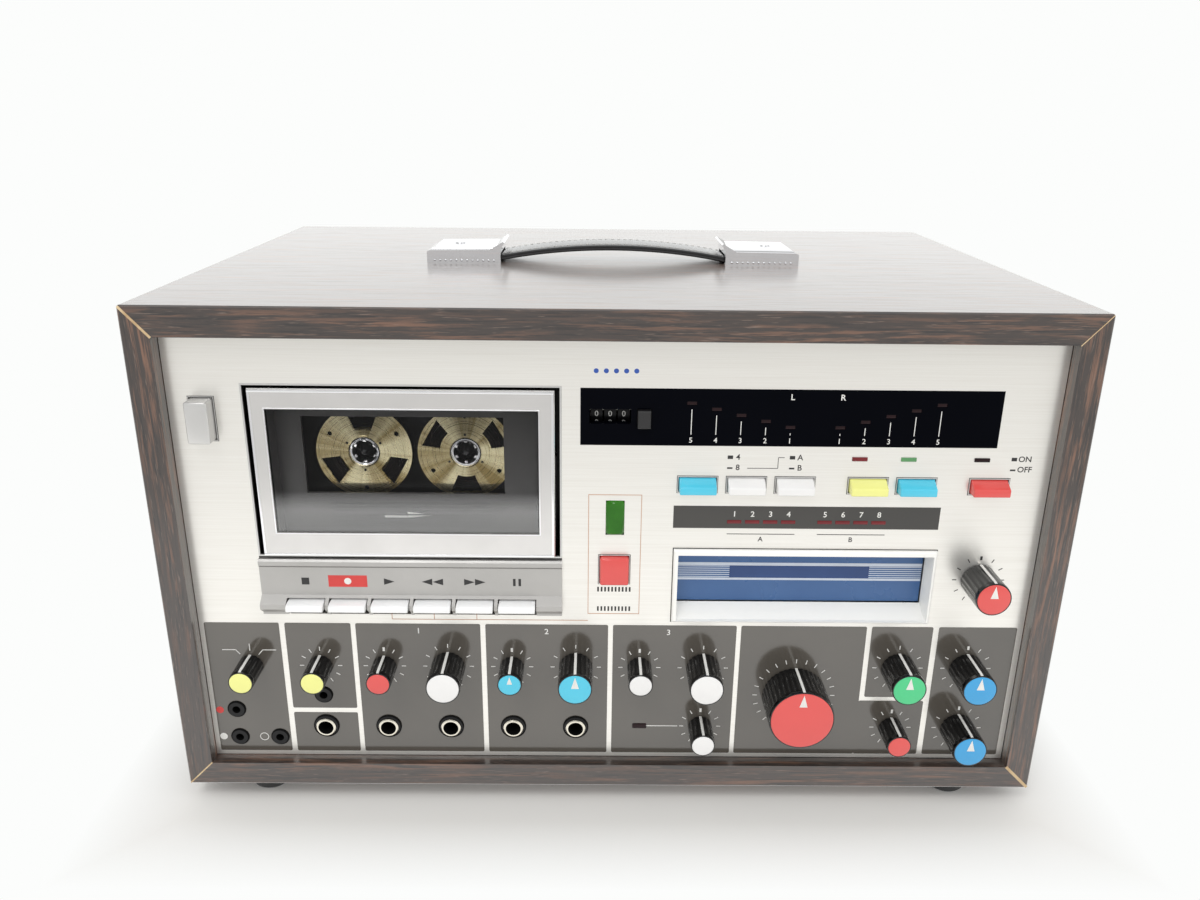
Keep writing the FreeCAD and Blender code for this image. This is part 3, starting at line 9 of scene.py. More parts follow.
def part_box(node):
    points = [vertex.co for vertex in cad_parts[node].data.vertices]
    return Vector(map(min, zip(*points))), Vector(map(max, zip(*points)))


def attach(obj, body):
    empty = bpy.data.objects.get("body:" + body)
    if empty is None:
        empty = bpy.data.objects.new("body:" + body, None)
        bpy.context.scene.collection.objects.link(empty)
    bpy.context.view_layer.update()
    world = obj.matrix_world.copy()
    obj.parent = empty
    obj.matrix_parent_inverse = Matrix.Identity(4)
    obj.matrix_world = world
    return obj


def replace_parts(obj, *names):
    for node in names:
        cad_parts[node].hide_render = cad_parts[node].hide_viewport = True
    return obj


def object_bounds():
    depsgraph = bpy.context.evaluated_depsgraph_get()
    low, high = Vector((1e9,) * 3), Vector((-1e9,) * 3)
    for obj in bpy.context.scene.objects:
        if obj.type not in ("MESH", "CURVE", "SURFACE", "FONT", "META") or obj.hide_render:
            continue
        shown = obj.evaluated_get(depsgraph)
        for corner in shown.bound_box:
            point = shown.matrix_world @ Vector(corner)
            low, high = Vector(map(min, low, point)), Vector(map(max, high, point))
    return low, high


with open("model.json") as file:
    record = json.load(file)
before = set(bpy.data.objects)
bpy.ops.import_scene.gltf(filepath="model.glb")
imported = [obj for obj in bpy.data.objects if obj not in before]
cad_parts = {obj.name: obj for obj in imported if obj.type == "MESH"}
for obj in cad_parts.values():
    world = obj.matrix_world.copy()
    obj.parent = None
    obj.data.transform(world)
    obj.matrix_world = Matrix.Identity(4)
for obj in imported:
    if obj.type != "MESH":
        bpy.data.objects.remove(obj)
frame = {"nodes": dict(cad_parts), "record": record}        # nodes and record of the imported part
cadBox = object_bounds()
mm = 0.001
fullTurn = 2 * math.pi
ink = 0.05               # how far printing stands up from its face
paint = 0.12             # how far a painted sheet does
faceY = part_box("front_panel")[0].y       # the face of the front panel
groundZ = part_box("cabinet")[0].z         # the underside of the cabinet
print("frame loaded with", len(frame["nodes"]), "nodes")


def at(x, y, z):
    # millimetres: across from the middle, back from the panel's face, up from the cabinet's underside
    return Vector((x * mm, faceY + y * mm, groundZ + z * mm))


def measured(node):
    low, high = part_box(node)                 # a node's box in the same millimetres
    return {"left": low.x / mm, "right": high.x / mm, "x": (low.x + high.x) / 2 / mm,
            "low": (low.z - groundZ) / mm, "high": (high.z - groundZ) / mm,
            "z": ((low.z + high.z) / 2 - groundZ) / mm, "radius": (high.x - low.x) / 2 / mm,
            "front": (low.y - faceY) / mm, "back": (high.y - faceY) / mm}


# shapes that the pieces are put together from

def addBox(bm, x0, x1, y0, y1, z0, z1):
    low, high = at(x0, y0, z0), at(x1, y1, z1)
    size = Matrix.Diagonal((high.x - low.x, high.y - low.y, high.z - low.z, 1))
    return bmesh.ops.create_cube(bm, size=1, matrix=Matrix.Translation((low + high) / 2) @ size)["verts"]


def addBar(bm, x0, z0, x1, z1, width, y=0.0, thick=ink):
    length = math.hypot(x1 - x0, z1 - z0)        # a thin straight line between two points of the panel
    spin = Matrix.Rotation(-math.atan2(z1 - z0, x1 - x0), 4, "Y")
    size = Matrix.Diagonal((length * mm, thick * mm, width * mm, 1))
    middle = at((x0 + x1) / 2, y - thick / 2, (z0 + z1) / 2)
    bmesh.ops.create_cube(bm, size=1, matrix=Matrix.Translation(middle) @ spin @ size)


def addOutline(bm, x0, x1, z0, z1, width, y=0.0, thick=ink):
    half = width / 2
    addBar(bm, x0 - half, z0, x1 + half, z0, width, y, thick)
    addBar(bm, x0 - half, z1, x1 + half, z1, width, y, thick)
    addBar(bm, x0, z0 + half, x0, z1 - half, width, y, thick)
    addBar(bm, x1, z0 + half, x1, z1 - half, width, y, thick)


def addDot(bm, x, z, radius, y=0.0, thick=ink, segments=24):
    turned = Matrix.Translation(at(x, y - thick / 2, z)) @ Matrix.Rotation(math.pi / 2, 4, "X")
    bmesh.ops.create_cone(bm, cap_ends=True, segments=segments, radius1=radius * mm, radius2=radius * mm,
                          depth=thick * mm, matrix=turned)


def addWedge(bm, x, z, width, height, y=0.0, thick=ink, heading=0.0):
    size = Matrix.Diagonal((width / math.sqrt(3) * mm, height / 1.5 * mm, thick * mm, 1))
    lift = Matrix.Translation((0, -height / 6 * mm, 0))        # centres the triangle on its height
    turned = Matrix.Rotation(heading, 4, "Y") @ Matrix.Rotation(math.pi / 2, 4, "X") @ lift
    bmesh.ops.create_cone(bm, cap_ends=True, segments=3, radius1=1, radius2=1, depth=1,
                          matrix=Matrix.Translation(at(x, y - thick / 2, z)) @ turned @ size)


def addTurned(bm, outline, x, z, steps=48):
    rail = [bm.verts.new(at(x + radius, y, z)) for radius, y in outline]
    edges = [bm.edges.new(pair) for pair in zip(rail, rail[1:])]
    bmesh.ops.spin(bm, geom=rail + edges, cent=at(x, 0, z), axis=(0, 1, 0), angle=fullTurn, steps=steps,
                   use_merge=True)


def addRing(bm, x, z, outer, inner, y=0.0, thick=ink, steps=32):
    addTurned(bm, [(inner, y), (inner, y - thick), (outer, y - thick), (outer, y), (inner, y)], x, z, steps)


def addProfile(bm, profile, x0, x1):
    face = bm.faces.new([bm.verts.new(at(x0, y, z)) for y, z in profile])    # drawn along x
    moved = bmesh.ops.extrude_face_region(bm, geom=[face])["geom"]
    across = [item for item in moved if isinstance(item, bmesh.types.BMVert)]
    bmesh.ops.translate(bm, verts=across, vec=((x1 - x0) * mm, 0, 0))
    bmesh.ops.recalc_face_normals(bm, faces=bm.faces)


def addBall(bm, x, y, z, radius, flat, turned, segments):
    spot = Matrix.Translation(at(x, y, z)) @ Matrix.Diagonal(flat + (1,)) @ turned
    bmesh.ops.create_uvsphere(bm, u_segments=segments, v_segments=segments // 2, radius=radius * mm,
                              matrix=spot)


def roundEdges(bm, edges, radius, segments=3):
    bmesh.ops.bevel(bm, geom=edges, offset=radius * mm, offset_type="OFFSET", segments=segments, profile=0.5,
                    affect="EDGES", clamp_overlap=True, material=-1)


wordMeshes = {}
letterShare = 0.7        # a letter's height as a share of the font's size


def wordMesh(words, bold):
    curve = bpy.data.curves.new("words", "FONT")
    curve.body = words
    curve.extrude = 0.5
    curve.offset = bold
    curve.align_x = "CENTER"
    curve.align_y = "CENTER"
    curve.resolution_u = 3
    holder = bpy.data.objects.new("words", curve)
    bpy.context.scene.collection.objects.link(holder)
    graph = bpy.context.evaluated_depsgraph_get()
    mesh = bpy.data.meshes.new_from_object(holder.evaluated_get(graph), depsgraph=graph)
    bpy.data.objects.remove(holder)
    bpy.data.curves.remove(curve)
    return mesh


def addWords(bm, words, x, z, height, y=0.0, thick=ink, place=None, bold=0.012):
    if (words, bold) not in wordMeshes:      # each word is a curve once, and a mesh from then on
        wordMeshes[words, bold] = wordMesh(words, bold)
    mesh = wordMeshes[words, bold].copy()
    size = height / letterShare * mm
    place = place or Matrix.Translation(at(x, y - thick / 2, z))
    upright = Matrix.Rotation(math.pi / 2, 4, "X")
    mesh.transform(place @ upright @ Matrix.Diagonal((size, size, thick * mm, 1)))
    bm.from_mesh(mesh)
    bpy.data.meshes.remove(mesh)


finishes = {}            # every material by its name


def makePiece(name, bm, finish, body="root", angle=32):
    bmesh.ops.remove_doubles(bm, verts=bm.verts, dist=1e-7)
    bmesh.ops.recalc_face_normals(bm, faces=bm.faces)
    mesh = bpy.data.meshes.new(name)
    bm.to_mesh(mesh)
    bm.free()
    mesh.shade_smooth()
    mesh.set_sharp_from_angle(angle=math.radians(angle))
    mesh.materials.append(finishes[finish])
    piece = bpy.data.objects.new(name, mesh)
    bpy.context.scene.collection.objects.link(piece)
    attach(piece, body)
    return piece


# colours, and short names for the shader nodes in use

def tone(red, green, blue):
    def linear(level):
        level = level / 255
        return level / 12.92 if level < 0.04045 else ((level + 0.055) / 1.055) ** 2.4
    return (linear(red), linear(green), linear(blue), 1.0)


def darker(color, share):
    return tuple(c * share for c in color[:3]) + (1.0,)


def put(tree, kind, ins=(), **props):
    made = tree.nodes.new(kind)
    for key, value in props.items():
        setattr(made, key, value)
    for key, value in (ins.items() if isinstance(ins, dict) else enumerate(ins)):
        if isinstance(value, bpy.types.NodeSocket):
            tree.links.new(value, made.inputs[key])
        else:
            made.inputs[key].default_value = value
    return made


def join(tree, ends, values):
    for key, value in values.items():
        tree.links.new(value, ends[key])


def sums(tree, operation, *ins):
    return put(tree, "ShaderNodeMath", ins, operation=operation).outputs[0]


def times(tree, first, second):
    return sums(tree, "MULTIPLY", first, second)


def plus(tree, first, second):
    return sums(tree, "ADD", first, second)


def minus(tree, first, second):
    return sums(tree, "SUBTRACT", first, second)


def above(tree, value, limit):
    return sums(tree, "GREATER_THAN", value, limit)


def below(tree, value, limit):
    return sums(tree, "LESS_THAN", value, limit)


def axesOf(tree, vector):
    return put(tree, "ShaderNodeSeparateXYZ", (vector,)).outputs


def reachOf(tree, across, up):
    return sums(tree, "SQRT", plus(tree, times(tree, across, across), times(tree, up, up)))


def combined(tree, x, y, z):
    return put(tree, "ShaderNodeCombineXYZ", (x, y, z)).outputs[0]


def vectors(tree, operation, *ins):
    return put(tree, "ShaderNodeVectorMath", ins, operation=operation).outputs[0]


def blendColor(tree, mask, first, second):
    return put(tree, "ShaderNodeMix", {0: mask, 6: first, 7: second}, data_type="RGBA").outputs[2]


def ranged(tree, value, low, high, newLow=0.0, newHigh=1.0):
    ends = {"From Min": low, "From Max": high, "To Min": newLow, "To Max": newHigh}
    return put(tree, "ShaderNodeMapRange", {"Value": value, **ends}).outputs["Result"]


def noise(tree, vector, scale, detail=3.0, roughness=0.55):
    return put(tree, "ShaderNodeTexNoise", {"Vector": vector, "Scale": scale, "Detail": detail,
                                            "Roughness": roughness}).outputs["Fac"]


def stretchedNoise(tree, vector, along, across, detail=3.0, roughness=0.55):
    line = put(tree, "ShaderNodeMapping", {"Vector": vector, "Scale": (along, across, across)}).outputs[0]
    return noise(tree, line, 1.0, detail, roughness)


colorSockets = ("Color", "Shade", "Dark", "Streak", "Line", "Pore")


def newGroup(name, inputs, outputs):
    tree = bpy.data.node_groups.new(name, "ShaderNodeTree")
    for way, names in (("INPUT", inputs), ("OUTPUT", outputs)):
        for socketName in names.split():
            kind = "Vector" if socketName == "Vector" else "Color" if socketName in colorSockets else "Float"
            tree.interface.new_socket(name=socketName, in_out=way, socket_type="NodeSocket" + kind)
    return tree, tree.nodes.new("NodeGroupInput").outputs, tree.nodes.new("NodeGroupOutput").inputs


def mottleGroup():
    # the small unevenness of moulded plastic, paint and plated steel
    tree, given, out = newGroup("mottle", "Vector Color Shade Scale Amount Roughness Spread",
                                "Color Roughness Height")
    broad = noise(tree, given["Vector"], given["Scale"], 4)
    fine = noise(tree, given["Vector"], times(tree, given["Scale"], 14.0), 3)
    mask = times(tree, ranged(tree, broad, 0.35, 0.7), given["Amount"])
    swing = times(tree, minus(tree, broad, 0.5), given["Spread"])
    join(tree, out, {"Color": blendColor(tree, mask, given["Color"], given["Shade"]),
                     "Roughness": plus(tree, given["Roughness"], swing), "Height": fine})
    return tree


def brushedGroup():
    # long fine scratches that run along the first axis of the vector
    tree, given, out = newGroup("brushed", "Vector Along Across", "Mask Height")
    scale = combined(tree, given["Along"], given["Across"], given["Across"])
    line = vectors(tree, "MULTIPLY", given["Vector"], scale)
    broad = noise(tree, line, 0.22, 3, 0.6)
    fine = noise(tree, line, 1.0, 2, 0.6)
    join(tree, out, {"Mask": plus(tree, times(tree, broad, 0.28), times(tree, fine, 0.72)), "Height": fine})
    return tree


def grainGroup():
    # dark veneer: reddish streaks, near-black lines and pale open pores, all along the first axis
    tree, given, out = newGroup("grain", "Vector Dark Streak Line Pore", "Color Roughness Height")
    bend = times(tree, stretchedNoise(tree, given["Vector"], 5, 22, 2), 0.006)
    line = vectors(tree, "ADD", given["Vector"], combined(tree, 0.0, bend, bend))
    streak = ranged(tree, stretchedNoise(tree, line, 34, 620, 4, 0.62), 0.48, 0.62)
    band = ranged(tree, stretchedNoise(tree, line, 7, 110), 0.4, 0.64)
    dark = ranged(tree, stretchedNoise(tree, line, 46, 1100), 0.54, 0.64)
    pore = ranged(tree, stretchedNoise(tree, line, 110, 2200, 2), 0.62, 0.72)
    streaked = times(tree, streak, plus(tree, times(tree, band, 0.75), 0.25))
    wood = blendColor(tree, streaked, given["Dark"], given["Streak"])
    wood = blendColor(tree, times(tree, dark, 0.8), wood, given["Line"])
    wood = blendColor(tree, times(tree, pore, 0.45), wood, given["Pore"])
    join(tree, out, {"Color": wood, "Roughness": ranged(tree, streak, 0.0, 1.0, 0.34, 0.46),
                     "Height": minus(tree, streak, plus(tree, dark, pore))})
    return tree


mottle = mottleGroup()
brushed = brushedGroup()
grain = grainGroup()


# the finishes

def newMaterial(name, sockets):
    material = bpy.data.materials.new(name)
    material.use_nodes = True
    tree = material.node_tree
    shader = tree.nodes["Principled BSDF"]
    for key, value in sockets.items():
        shader.inputs[key.replace("_", " ")].default_value = value
    finishes[name] = material
    return tree, shader


def objectCoords(tree):
    return put(tree, "ShaderNodeTexCoord").outputs["Object"]


def bumped(tree, shader, height, strength, distance):
    bump = put(tree, "ShaderNodeBump", {"Height": height, "Strength": strength, "Distance": distance * mm})
    tree.links.new(bump.outputs[0], shader.inputs["Normal"])


def moulded(name, color, shade=None, rough=0.35, spread=0.12, scale=45.0, amount=0.5, bump=0.12, **sockets):
    tree, shader = newMaterial(name, sockets)
    main = tone(*color)
    coat = put(tree, "ShaderNodeGroup", node_tree=mottle)
    for key, value in (("Color", main), ("Shade", tone(*shade) if shade else darker(main, 0.92)),
                       ("Scale", scale), ("Amount", amount), ("Roughness", rough), ("Spread", spread)):
        coat.inputs[key].default_value = value
    tree.links.new(objectCoords(tree), coat.inputs["Vector"])
    join(tree, shader.inputs, {"Base Color": coat.outputs["Color"], "Roughness": coat.outputs["Roughness"]})
    bumped(tree, shader, coat.outputs["Height"], bump, 0.05)


panelLook = {"color": tone(236, 234, 229), "shade": tone(229, 226, 220), "along": 26.0, "across": 2400.0,
             "roughLow": 0.31, "roughHigh": 0.37, "bump": 0.16}


def panelAluminium():
    # scratches that run across the panel
    tree, shader = newMaterial("panelAluminium", {"Metallic": 0.8, "Anisotropic": 0.6,
                                                  "Anisotropic Rotation": 0.25})
    lines = put(tree, "ShaderNodeGroup", {"Vector": objectCoords(tree), "Along": panelLook["along"],
                                          "Across": panelLook["across"]}, node_tree=brushed)
    mask = lines.outputs["Mask"]
    color = blendColor(tree, ranged(tree, mask, 0.3, 0.7), panelLook["color"], panelLook["shade"])
    rough = ranged(tree, mask, 0.3, 0.7, panelLook["roughLow"], panelLook["roughHigh"])
    join(tree, shader.inputs, {"Base Color": color, "Roughness": rough})
    bumped(tree, shader, lines.outputs["Height"], panelLook["bump"], 0.02)


# pale is the colour of the painted sheen on the vinyl
woodLook = {"dark": tone(54, 43, 38), "streak": tone(124, 87, 66), "line": tone(25, 20, 19),
            "pore": tone(146, 124, 110), "pale": tone(214, 202, 193), "paintedSheen": 0.22, "paintedSheenFrom": 0.6,
            "paintedSheenTo": 0.92}


def woodVinyl():
    tree, shader = newMaterial("woodVinyl", {"Specular IOR Level": 0.6, "Coat Weight": 0.9,
                                             "Coat Roughness": 0.17})
    board = measured("cabinet")
    coords = objectCoords(tree)
    parts = axesOf(tree, coords)
    toSide = minus(tree, board["right"] * mm, sums(tree, "ABSOLUTE", parts["X"]))
    fromLow = minus(tree, parts["Z"], groundZ)
    fromHigh = minus(tree, groundZ + board["high"] * mm, parts["Z"])
    upright = below(tree, toSide, sums(tree, "MINIMUM", fromLow, fromHigh))    # the two side boards
    lengthwise = combined(tree, parts["Z"], parts["Y"], parts["X"])
    along = put(tree, "ShaderNodeMix", {0: upright, 4: coords, 5: lengthwise}, data_type="VECTOR")
    veneer = put(tree, "ShaderNodeGroup", node_tree=grain)
    for key in ("dark", "streak", "line", "pore"):
        veneer.inputs[key.capitalize()].default_value = woodLook[key]
    tree.links.new(along.outputs[1], veneer.inputs["Vector"])
    facing = put(tree, "ShaderNodeLayerWeight", {"Blend": 0.5}).outputs["Facing"]
    # painted sheen: the base colour turns toward the pale tone where the vinyl is seen along its face
    paintedSheen = ranged(tree, facing, woodLook["paintedSheenFrom"], woodLook["paintedSheenTo"], 0.0, woodLook["paintedSheen"])
    color = blendColor(tree, paintedSheen, veneer.outputs["Color"], woodLook["pale"])
    join(tree, shader.inputs, {"Base Color": color, "Roughness": veneer.outputs["Roughness"]})
    bumped(tree, shader, veneer.outputs["Height"], 0.25, 0.05)


# dark and bright are the painted shade and highlight in the rays of the turned face
goldLook = {"dark": tone(158, 138, 88), "bright": tone(255, 244, 198), "line": tone(214, 192, 134),
            "steel": tone(206, 206, 206), "groove": tone(60, 58, 56), "tape": tone(24, 20, 18),
            "hubRadius": 6.6, "grooveRadius": 6.1, "tapeRadius": 10.8, "flangeDepth": 0.85}


def reelGold(name, node):
    # champagne aluminium turned about the reel's own axis, with a steel hub and dark tape behind
    place = measured(node)
    tree, shader = newMaterial(name, {"Metallic": 1.0, "Anisotropic": 0.75})
    centre = (-place["x"] * mm, 0, -groundZ - place["z"] * mm)
    mapping = put(tree, "ShaderNodeMapping", {"Vector": objectCoords(tree), "Location": centre})
    parts = axesOf(tree, mapping.outputs[0])
    radius = reachOf(tree, parts["X"], parts["Z"])
    rings = put(tree, "ShaderNodeTexNoise", {"W": radius, "Scale": 2600.0, "Detail": 2.0},
                noise_dimensions="1D").outputs[0]
    outward = vectors(tree, "NORMALIZE", combined(tree, parts["X"], 0.0, parts["Z"]))
    paintedHighlightRays = plus(tree, times(tree, noise(tree, outward, 1.7, 1), 0.75),
                times(tree, noise(tree, outward, 16.0, 3), 0.25))       # painted highlight and shade: the turned face is lighter and darker in rays that fan out
    gold = blendColor(tree, ranged(tree, paintedHighlightRays, 0.38, 0.6), goldLook["dark"], goldLook["bright"])
    gold = blendColor(tree, times(tree, rings, 0.15), gold, goldLook["line"])
    hub = below(tree, radius, goldLook["hubRadius"] * mm)
    groove = times(tree, hub, above(tree, radius, goldLook["grooveRadius"] * mm))
    color = blendColor(tree, groove, blendColor(tree, hub, gold, goldLook["steel"]), goldLook["groove"])
    deep = above(tree, parts["Y"], faceY + (place["front"] + goldLook["flangeDepth"]) * mm)
    tape = times(tree, deep, above(tree, radius, goldLook["tapeRadius"] * mm))
    tangent = put(tree, "ShaderNodeTangent", direction_type="RADIAL", axis="Y").outputs[0]
    join(tree, shader.inputs, {"Base Color": blendColor(tree, tape, color, goldLook["tape"]),
                               "Roughness": ranged(tree, rings, 0.3, 0.7, 0.24, 0.36), "Tangent": tangent})
    bumped(tree, shader, rings, 0.06, 0.02)


def clearPlastic(name, color, rough, ior=1.45, shine=0.5):
    # light goes straight through, so that what lies behind isn't in the dark
    tree, shader = newMaterial(name, {"Transmission Weight": 1.0, "IOR": ior, "Base Color": color,
                                      "Roughness": rough, "Specular IOR Level": shine})
    shadow = put(tree, "ShaderNodeLightPath").outputs["Is Shadow Ray"]
    tree.links.new(minus(tree, 1.0, times(tree, shadow, 0.92)), shader.inputs["Alpha"])


doorLook = {"face": tone(214, 212, 210), "back": tone(66, 64, 63), "depth": -0.005, "metal": 0.7,
            "faceRough": 0.2, "backRough": 0.34}


def doorSilver():
    # the door's face is silver, and the holder behind it is dark plastic
    tree, shader = newMaterial("doorSilver", {})
    coords = objectCoords(tree)
    ahead = below(tree, axesOf(tree, coords)["Y"], faceY + doorLook["depth"] * mm)
    broad = noise(tree, coords, 60.0, 4)
    cloud = ranged(tree, broad, 0.3, 0.7, 0.0, 0.35)
    face = blendColor(tree, cloud, doorLook["face"], darker(doorLook["face"], 0.8))
    rough = ranged(tree, ahead, 0.0, 1.0, doorLook["backRough"], doorLook["faceRough"])
    join(tree, shader.inputs, {"Base Color": blendColor(tree, ahead, doorLook["back"], face),
                               "Metallic": ranged(tree, ahead, 0.0, 1.0, 0.0, doorLook["metal"]),
                               "Roughness": plus(tree, rough, times(tree, minus(tree, broad, 0.5), 0.08))})
    bumped(tree, shader, noise(tree, coords, 900.0, 2), 0.03, 0.02)


# dark is the painted shade inside the bores
jackLook = {"ringRadius": 3.4, "boreRadius": 3.25, "ringDepth": -1.22, "boreDepth": -0.85,
            "ring": (tone(226, 221, 208), tone(206, 200, 186)),
            "body": (tone(34, 34, 35), tone(24, 24, 25)), "dark": tone(5, 5, 5)}
largeJacks = [mount for mount in frame["record"]["mounts"]
              if mount["kind"] == "bore" and mount["dims"]["r_mm"] > 3]


def jackSocket():
    # black sockets with painted shade deep in each bore; only the outer part of a large socket's ring nut is
    # bright
    tree, shader = newMaterial("jackSocket", {"Specular IOR Level": 0.2})
    coords = objectCoords(tree)
    parts = axesOf(tree, coords)
    firstX, lastX = largeJacks[0]["pos_m"][0], largeJacks[-1]["pos_m"][0]
    halfPitch = (lastX - firstX) / (len(largeJacks) - 1) / 2
    across = sums(tree, "WRAP", minus(tree, parts["X"], firstX), halfPitch, -halfPitch)
    up = minus(tree, parts["Z"], largeJacks[0]["pos_m"][2])
    radius = reachOf(tree, across, up)
    ring = times(tree, below(tree, parts["Y"], faceY + jackLook["ringDepth"] * mm),
                 above(tree, radius, jackLook["ringRadius"] * mm))
    # painted shade: near-black within the bore's radius and on all that lies behind the sockets' front
    paintedBoreShade = sums(tree, "MAXIMUM", above(tree, parts["Y"], faceY + jackLook["boreDepth"] * mm),
                  below(tree, radius, jackLook["boreRadius"] * mm))
    broad = noise(tree, coords, 60.0, 4)
    body = blendColor(tree, paintedBoreShade, blendColor(tree, broad, *jackLook["body"]), jackLook["dark"])
    color = blendColor(tree, ring, body, blendColor(tree, broad, *jackLook["ring"]))
    rough = plus(tree, ranged(tree, broad, 0.0, 1.0, 0.22, 0.32), times(tree, paintedBoreShade, 0.6))
    join(tree, shader.inputs, {"Base Color": color, "Metallic": ring, "Roughness": rough})
    bumped(tree, shader, noise(tree, coords, 900.0, 2), 0.1, 0.03)


woodVinyl()
panelAluminium()
doorSilver()
jackSocket()
reelGold("reelGoldLeft", "reel_left")
reelGold("reelGoldRight", "reel_right")
clearPlastic("doorPane", tone(244, 244, 245), 0.0)
clearPlastic("cassetteShell", tone(226, 226, 228), 0.02, 1.2, 0.1)
moulded("rawEdge", (222, 198, 158), (176, 142, 100), rough=0.7, scale=160, amount=0.8)
moulded("bandPaint", (86, 81, 74), (77, 73, 67), rough=0.12, spread=0.05, scale=30, bump=0.02,
        Specular_IOR_Level=0.95)
moulded("stripPaint", (66, 64, 61), (58, 56, 54), rough=0.3, spread=0.05, scale=30, bump=0.02)
moulded("inkWhite", (236, 235, 230), (214, 213, 208), rough=0.45, scale=200, amount=0.4)
moulded("inkGrey", (196, 196, 192), (178, 178, 175), rough=0.5, scale=200, amount=0.4)
moulded("inkBlack", (34, 33, 34), (52, 50, 50), rough=0.45, scale=200, amount=0.4)
moulded("inkRed", (214, 66, 62), (196, 56, 54), rough=0.4, scale=120, amount=0.4)
moulded("inkRust", (196, 150, 122), (178, 132, 106), rough=0.5, scale=120, amount=0.4)
moulded("inkBlue", (44, 84, 168), (38, 72, 150), rough=0.45, scale=120, amount=0.4)
moulded("chromePlate", (232, 232, 234), (220, 220, 223), rough=0.05, spread=0.04, scale=50, bump=0.02,
        Metallic=1.0)
moulded("strapVinyl", (34, 34, 36), (22, 22, 24), rough=0.34, spread=0.1, scale=220, amount=0.7, bump=0.5,
        Coat_Weight=0.6, Coat_Roughness=0.14)
moulded("strapThread", (206, 204, 198), (168, 166, 160), rough=0.7, scale=900, amount=0.7)
moulded("knobBlack", (9, 9, 11), (6, 6, 8), rough=0.2, spread=0.06, scale=70, bump=0.02,
        Specular_IOR_Level=0.3, Coat_Weight=0.4, Coat_Roughness=0.04)
moulded("keyWhite", (250, 250, 249), (242, 242, 241), rough=0.14, spread=0.06, scale=40, bump=0.03,
        Coat_Weight=0.4, Coat_Roughness=0.05)
moulded("silverPaint", (206, 205, 203), (192, 191, 189), rough=0.3, spread=0.08, scale=50, Metallic=0.55)
moulded("coverSilver", (178, 176, 173), (166, 164, 161), rough=0.34, spread=0.08, scale=50, Metallic=0.45)
moulded("bezelPale", (253, 252, 247), (249, 248, 243), rough=0.5, spread=0.08, scale=50)
moulded("deckBlack", (34, 33, 34), (26, 25, 26), rough=0.4, scale=80)
moulded("windowBlack", (5, 6, 12), (3, 4, 9), rough=0.07, spread=0.04, scale=25, bump=0.02,
        Specular_IOR_Level=0.03)
moulded("spindleBlack", (30, 30, 31), (22, 22, 23), rough=0.3, scale=90)
moulded("wheelBlack", (11, 11, 13), (7, 7, 9), rough=0.42, scale=90, Specular_IOR_Level=0.2)
moulded("platedSteel", (178, 178, 172), (158, 158, 154), rough=0.32, spread=0.15, scale=35, Metallic=0.9)
moulded("flywheelSteel", (150, 150, 150), (126, 126, 128), rough=0.3, spread=0.15, scale=60, Metallic=1.0)
moulded("circuitBoard", (62, 96, 58), (48, 78, 46), rough=0.4, scale=120, amount=0.8)
moulded("hardboard", (44, 42, 41), (58, 55, 52), rough=0.75, scale=260, amount=0.8, bump=0.5)
moulded("rubber", (28, 28, 29), (38, 38, 38), rough=0.68, scale=120, bump=0.3)
moulded("flapBlue", (60, 98, 148), (52, 87, 136), rough=0.28, spread=0.1, scale=40)
moulded("flapLabel", (36, 68, 122), (31, 60, 110), rough=0.35, scale=60)
moulded("flapLine", (206, 214, 226), (190, 198, 212), rough=0.35, scale=100)
moulded("lensRed", (118, 28, 34), (92, 22, 28), rough=0.2, scale=90, Specular_IOR_Level=0.4)
moulded("lensDark", (34, 13, 17), (25, 10, 13), rough=0.2, scale=90, Specular_IOR_Level=0.2)
moulded("lensGreen", (54, 122, 30), (36, 96, 20), rough=0.14, scale=60, amount=0.8, Specular_IOR_Level=0.15,
        Coat_Weight=0.15)
moulded("lensLeaf", (92, 150, 96), (74, 128, 80), rough=0.2, scale=90)
capColors = {"capCoral": (226, 82, 78), "capSky": (54, 162, 220), "capCyan": (80, 202, 230),
             "capLemon": (244, 244, 148), "capWhite": (241, 240, 238), "capGreen": (70, 204, 134)}
for name, color in capColors.items():
    moulded(name, color, rough=0.24, spread=0.06, scale=60, bump=0.03, Coat_Weight=0.25, Coat_Roughness=0.1)
print("finishes ready:", len(finishes))

finishNodes = {
    "woodVinyl": "cabinet", "hardboard": "rear_cover", "rubber": "feet", "chromePlate": "handle_end_caps",
    "panelAluminium": "front_panel", "windowBlack": "meter_window", "bezelPale": "cartridge_bezel",
    "deckBlack": "cassette_well counter_reset", "coverSilver": "key_cover", "jackSocket": "jack_sockets",
    "platedSteel": "control_pots chassis cartridge_tray head_plate", "circuitBoard": "circuit_boards",
    "doorSilver": "door_frame", "doorPane": "door_window", "cassetteShell": "cassette_shell",
    "reelGoldLeft": "reel_left", "reelGoldRight": "reel_right", "flapBlue": "cartridge_flap",
    "spindleBlack": "spindle_left spindle_right", "flywheelSteel": "capstan_flywheel cartridge_flywheel",
    "wheelBlack": "counter_units counter_tens counter_hundreds",
}
for finish, nodes in finishNodes.items():
    for node in nodes.split():
        mesh = frame["nodes"][node].data
        mesh.materials.clear()
        mesh.materials.append(finishes[finish])


# knobs: a fluted body with a nose, a coloured disc set in its end, and a white line along the top

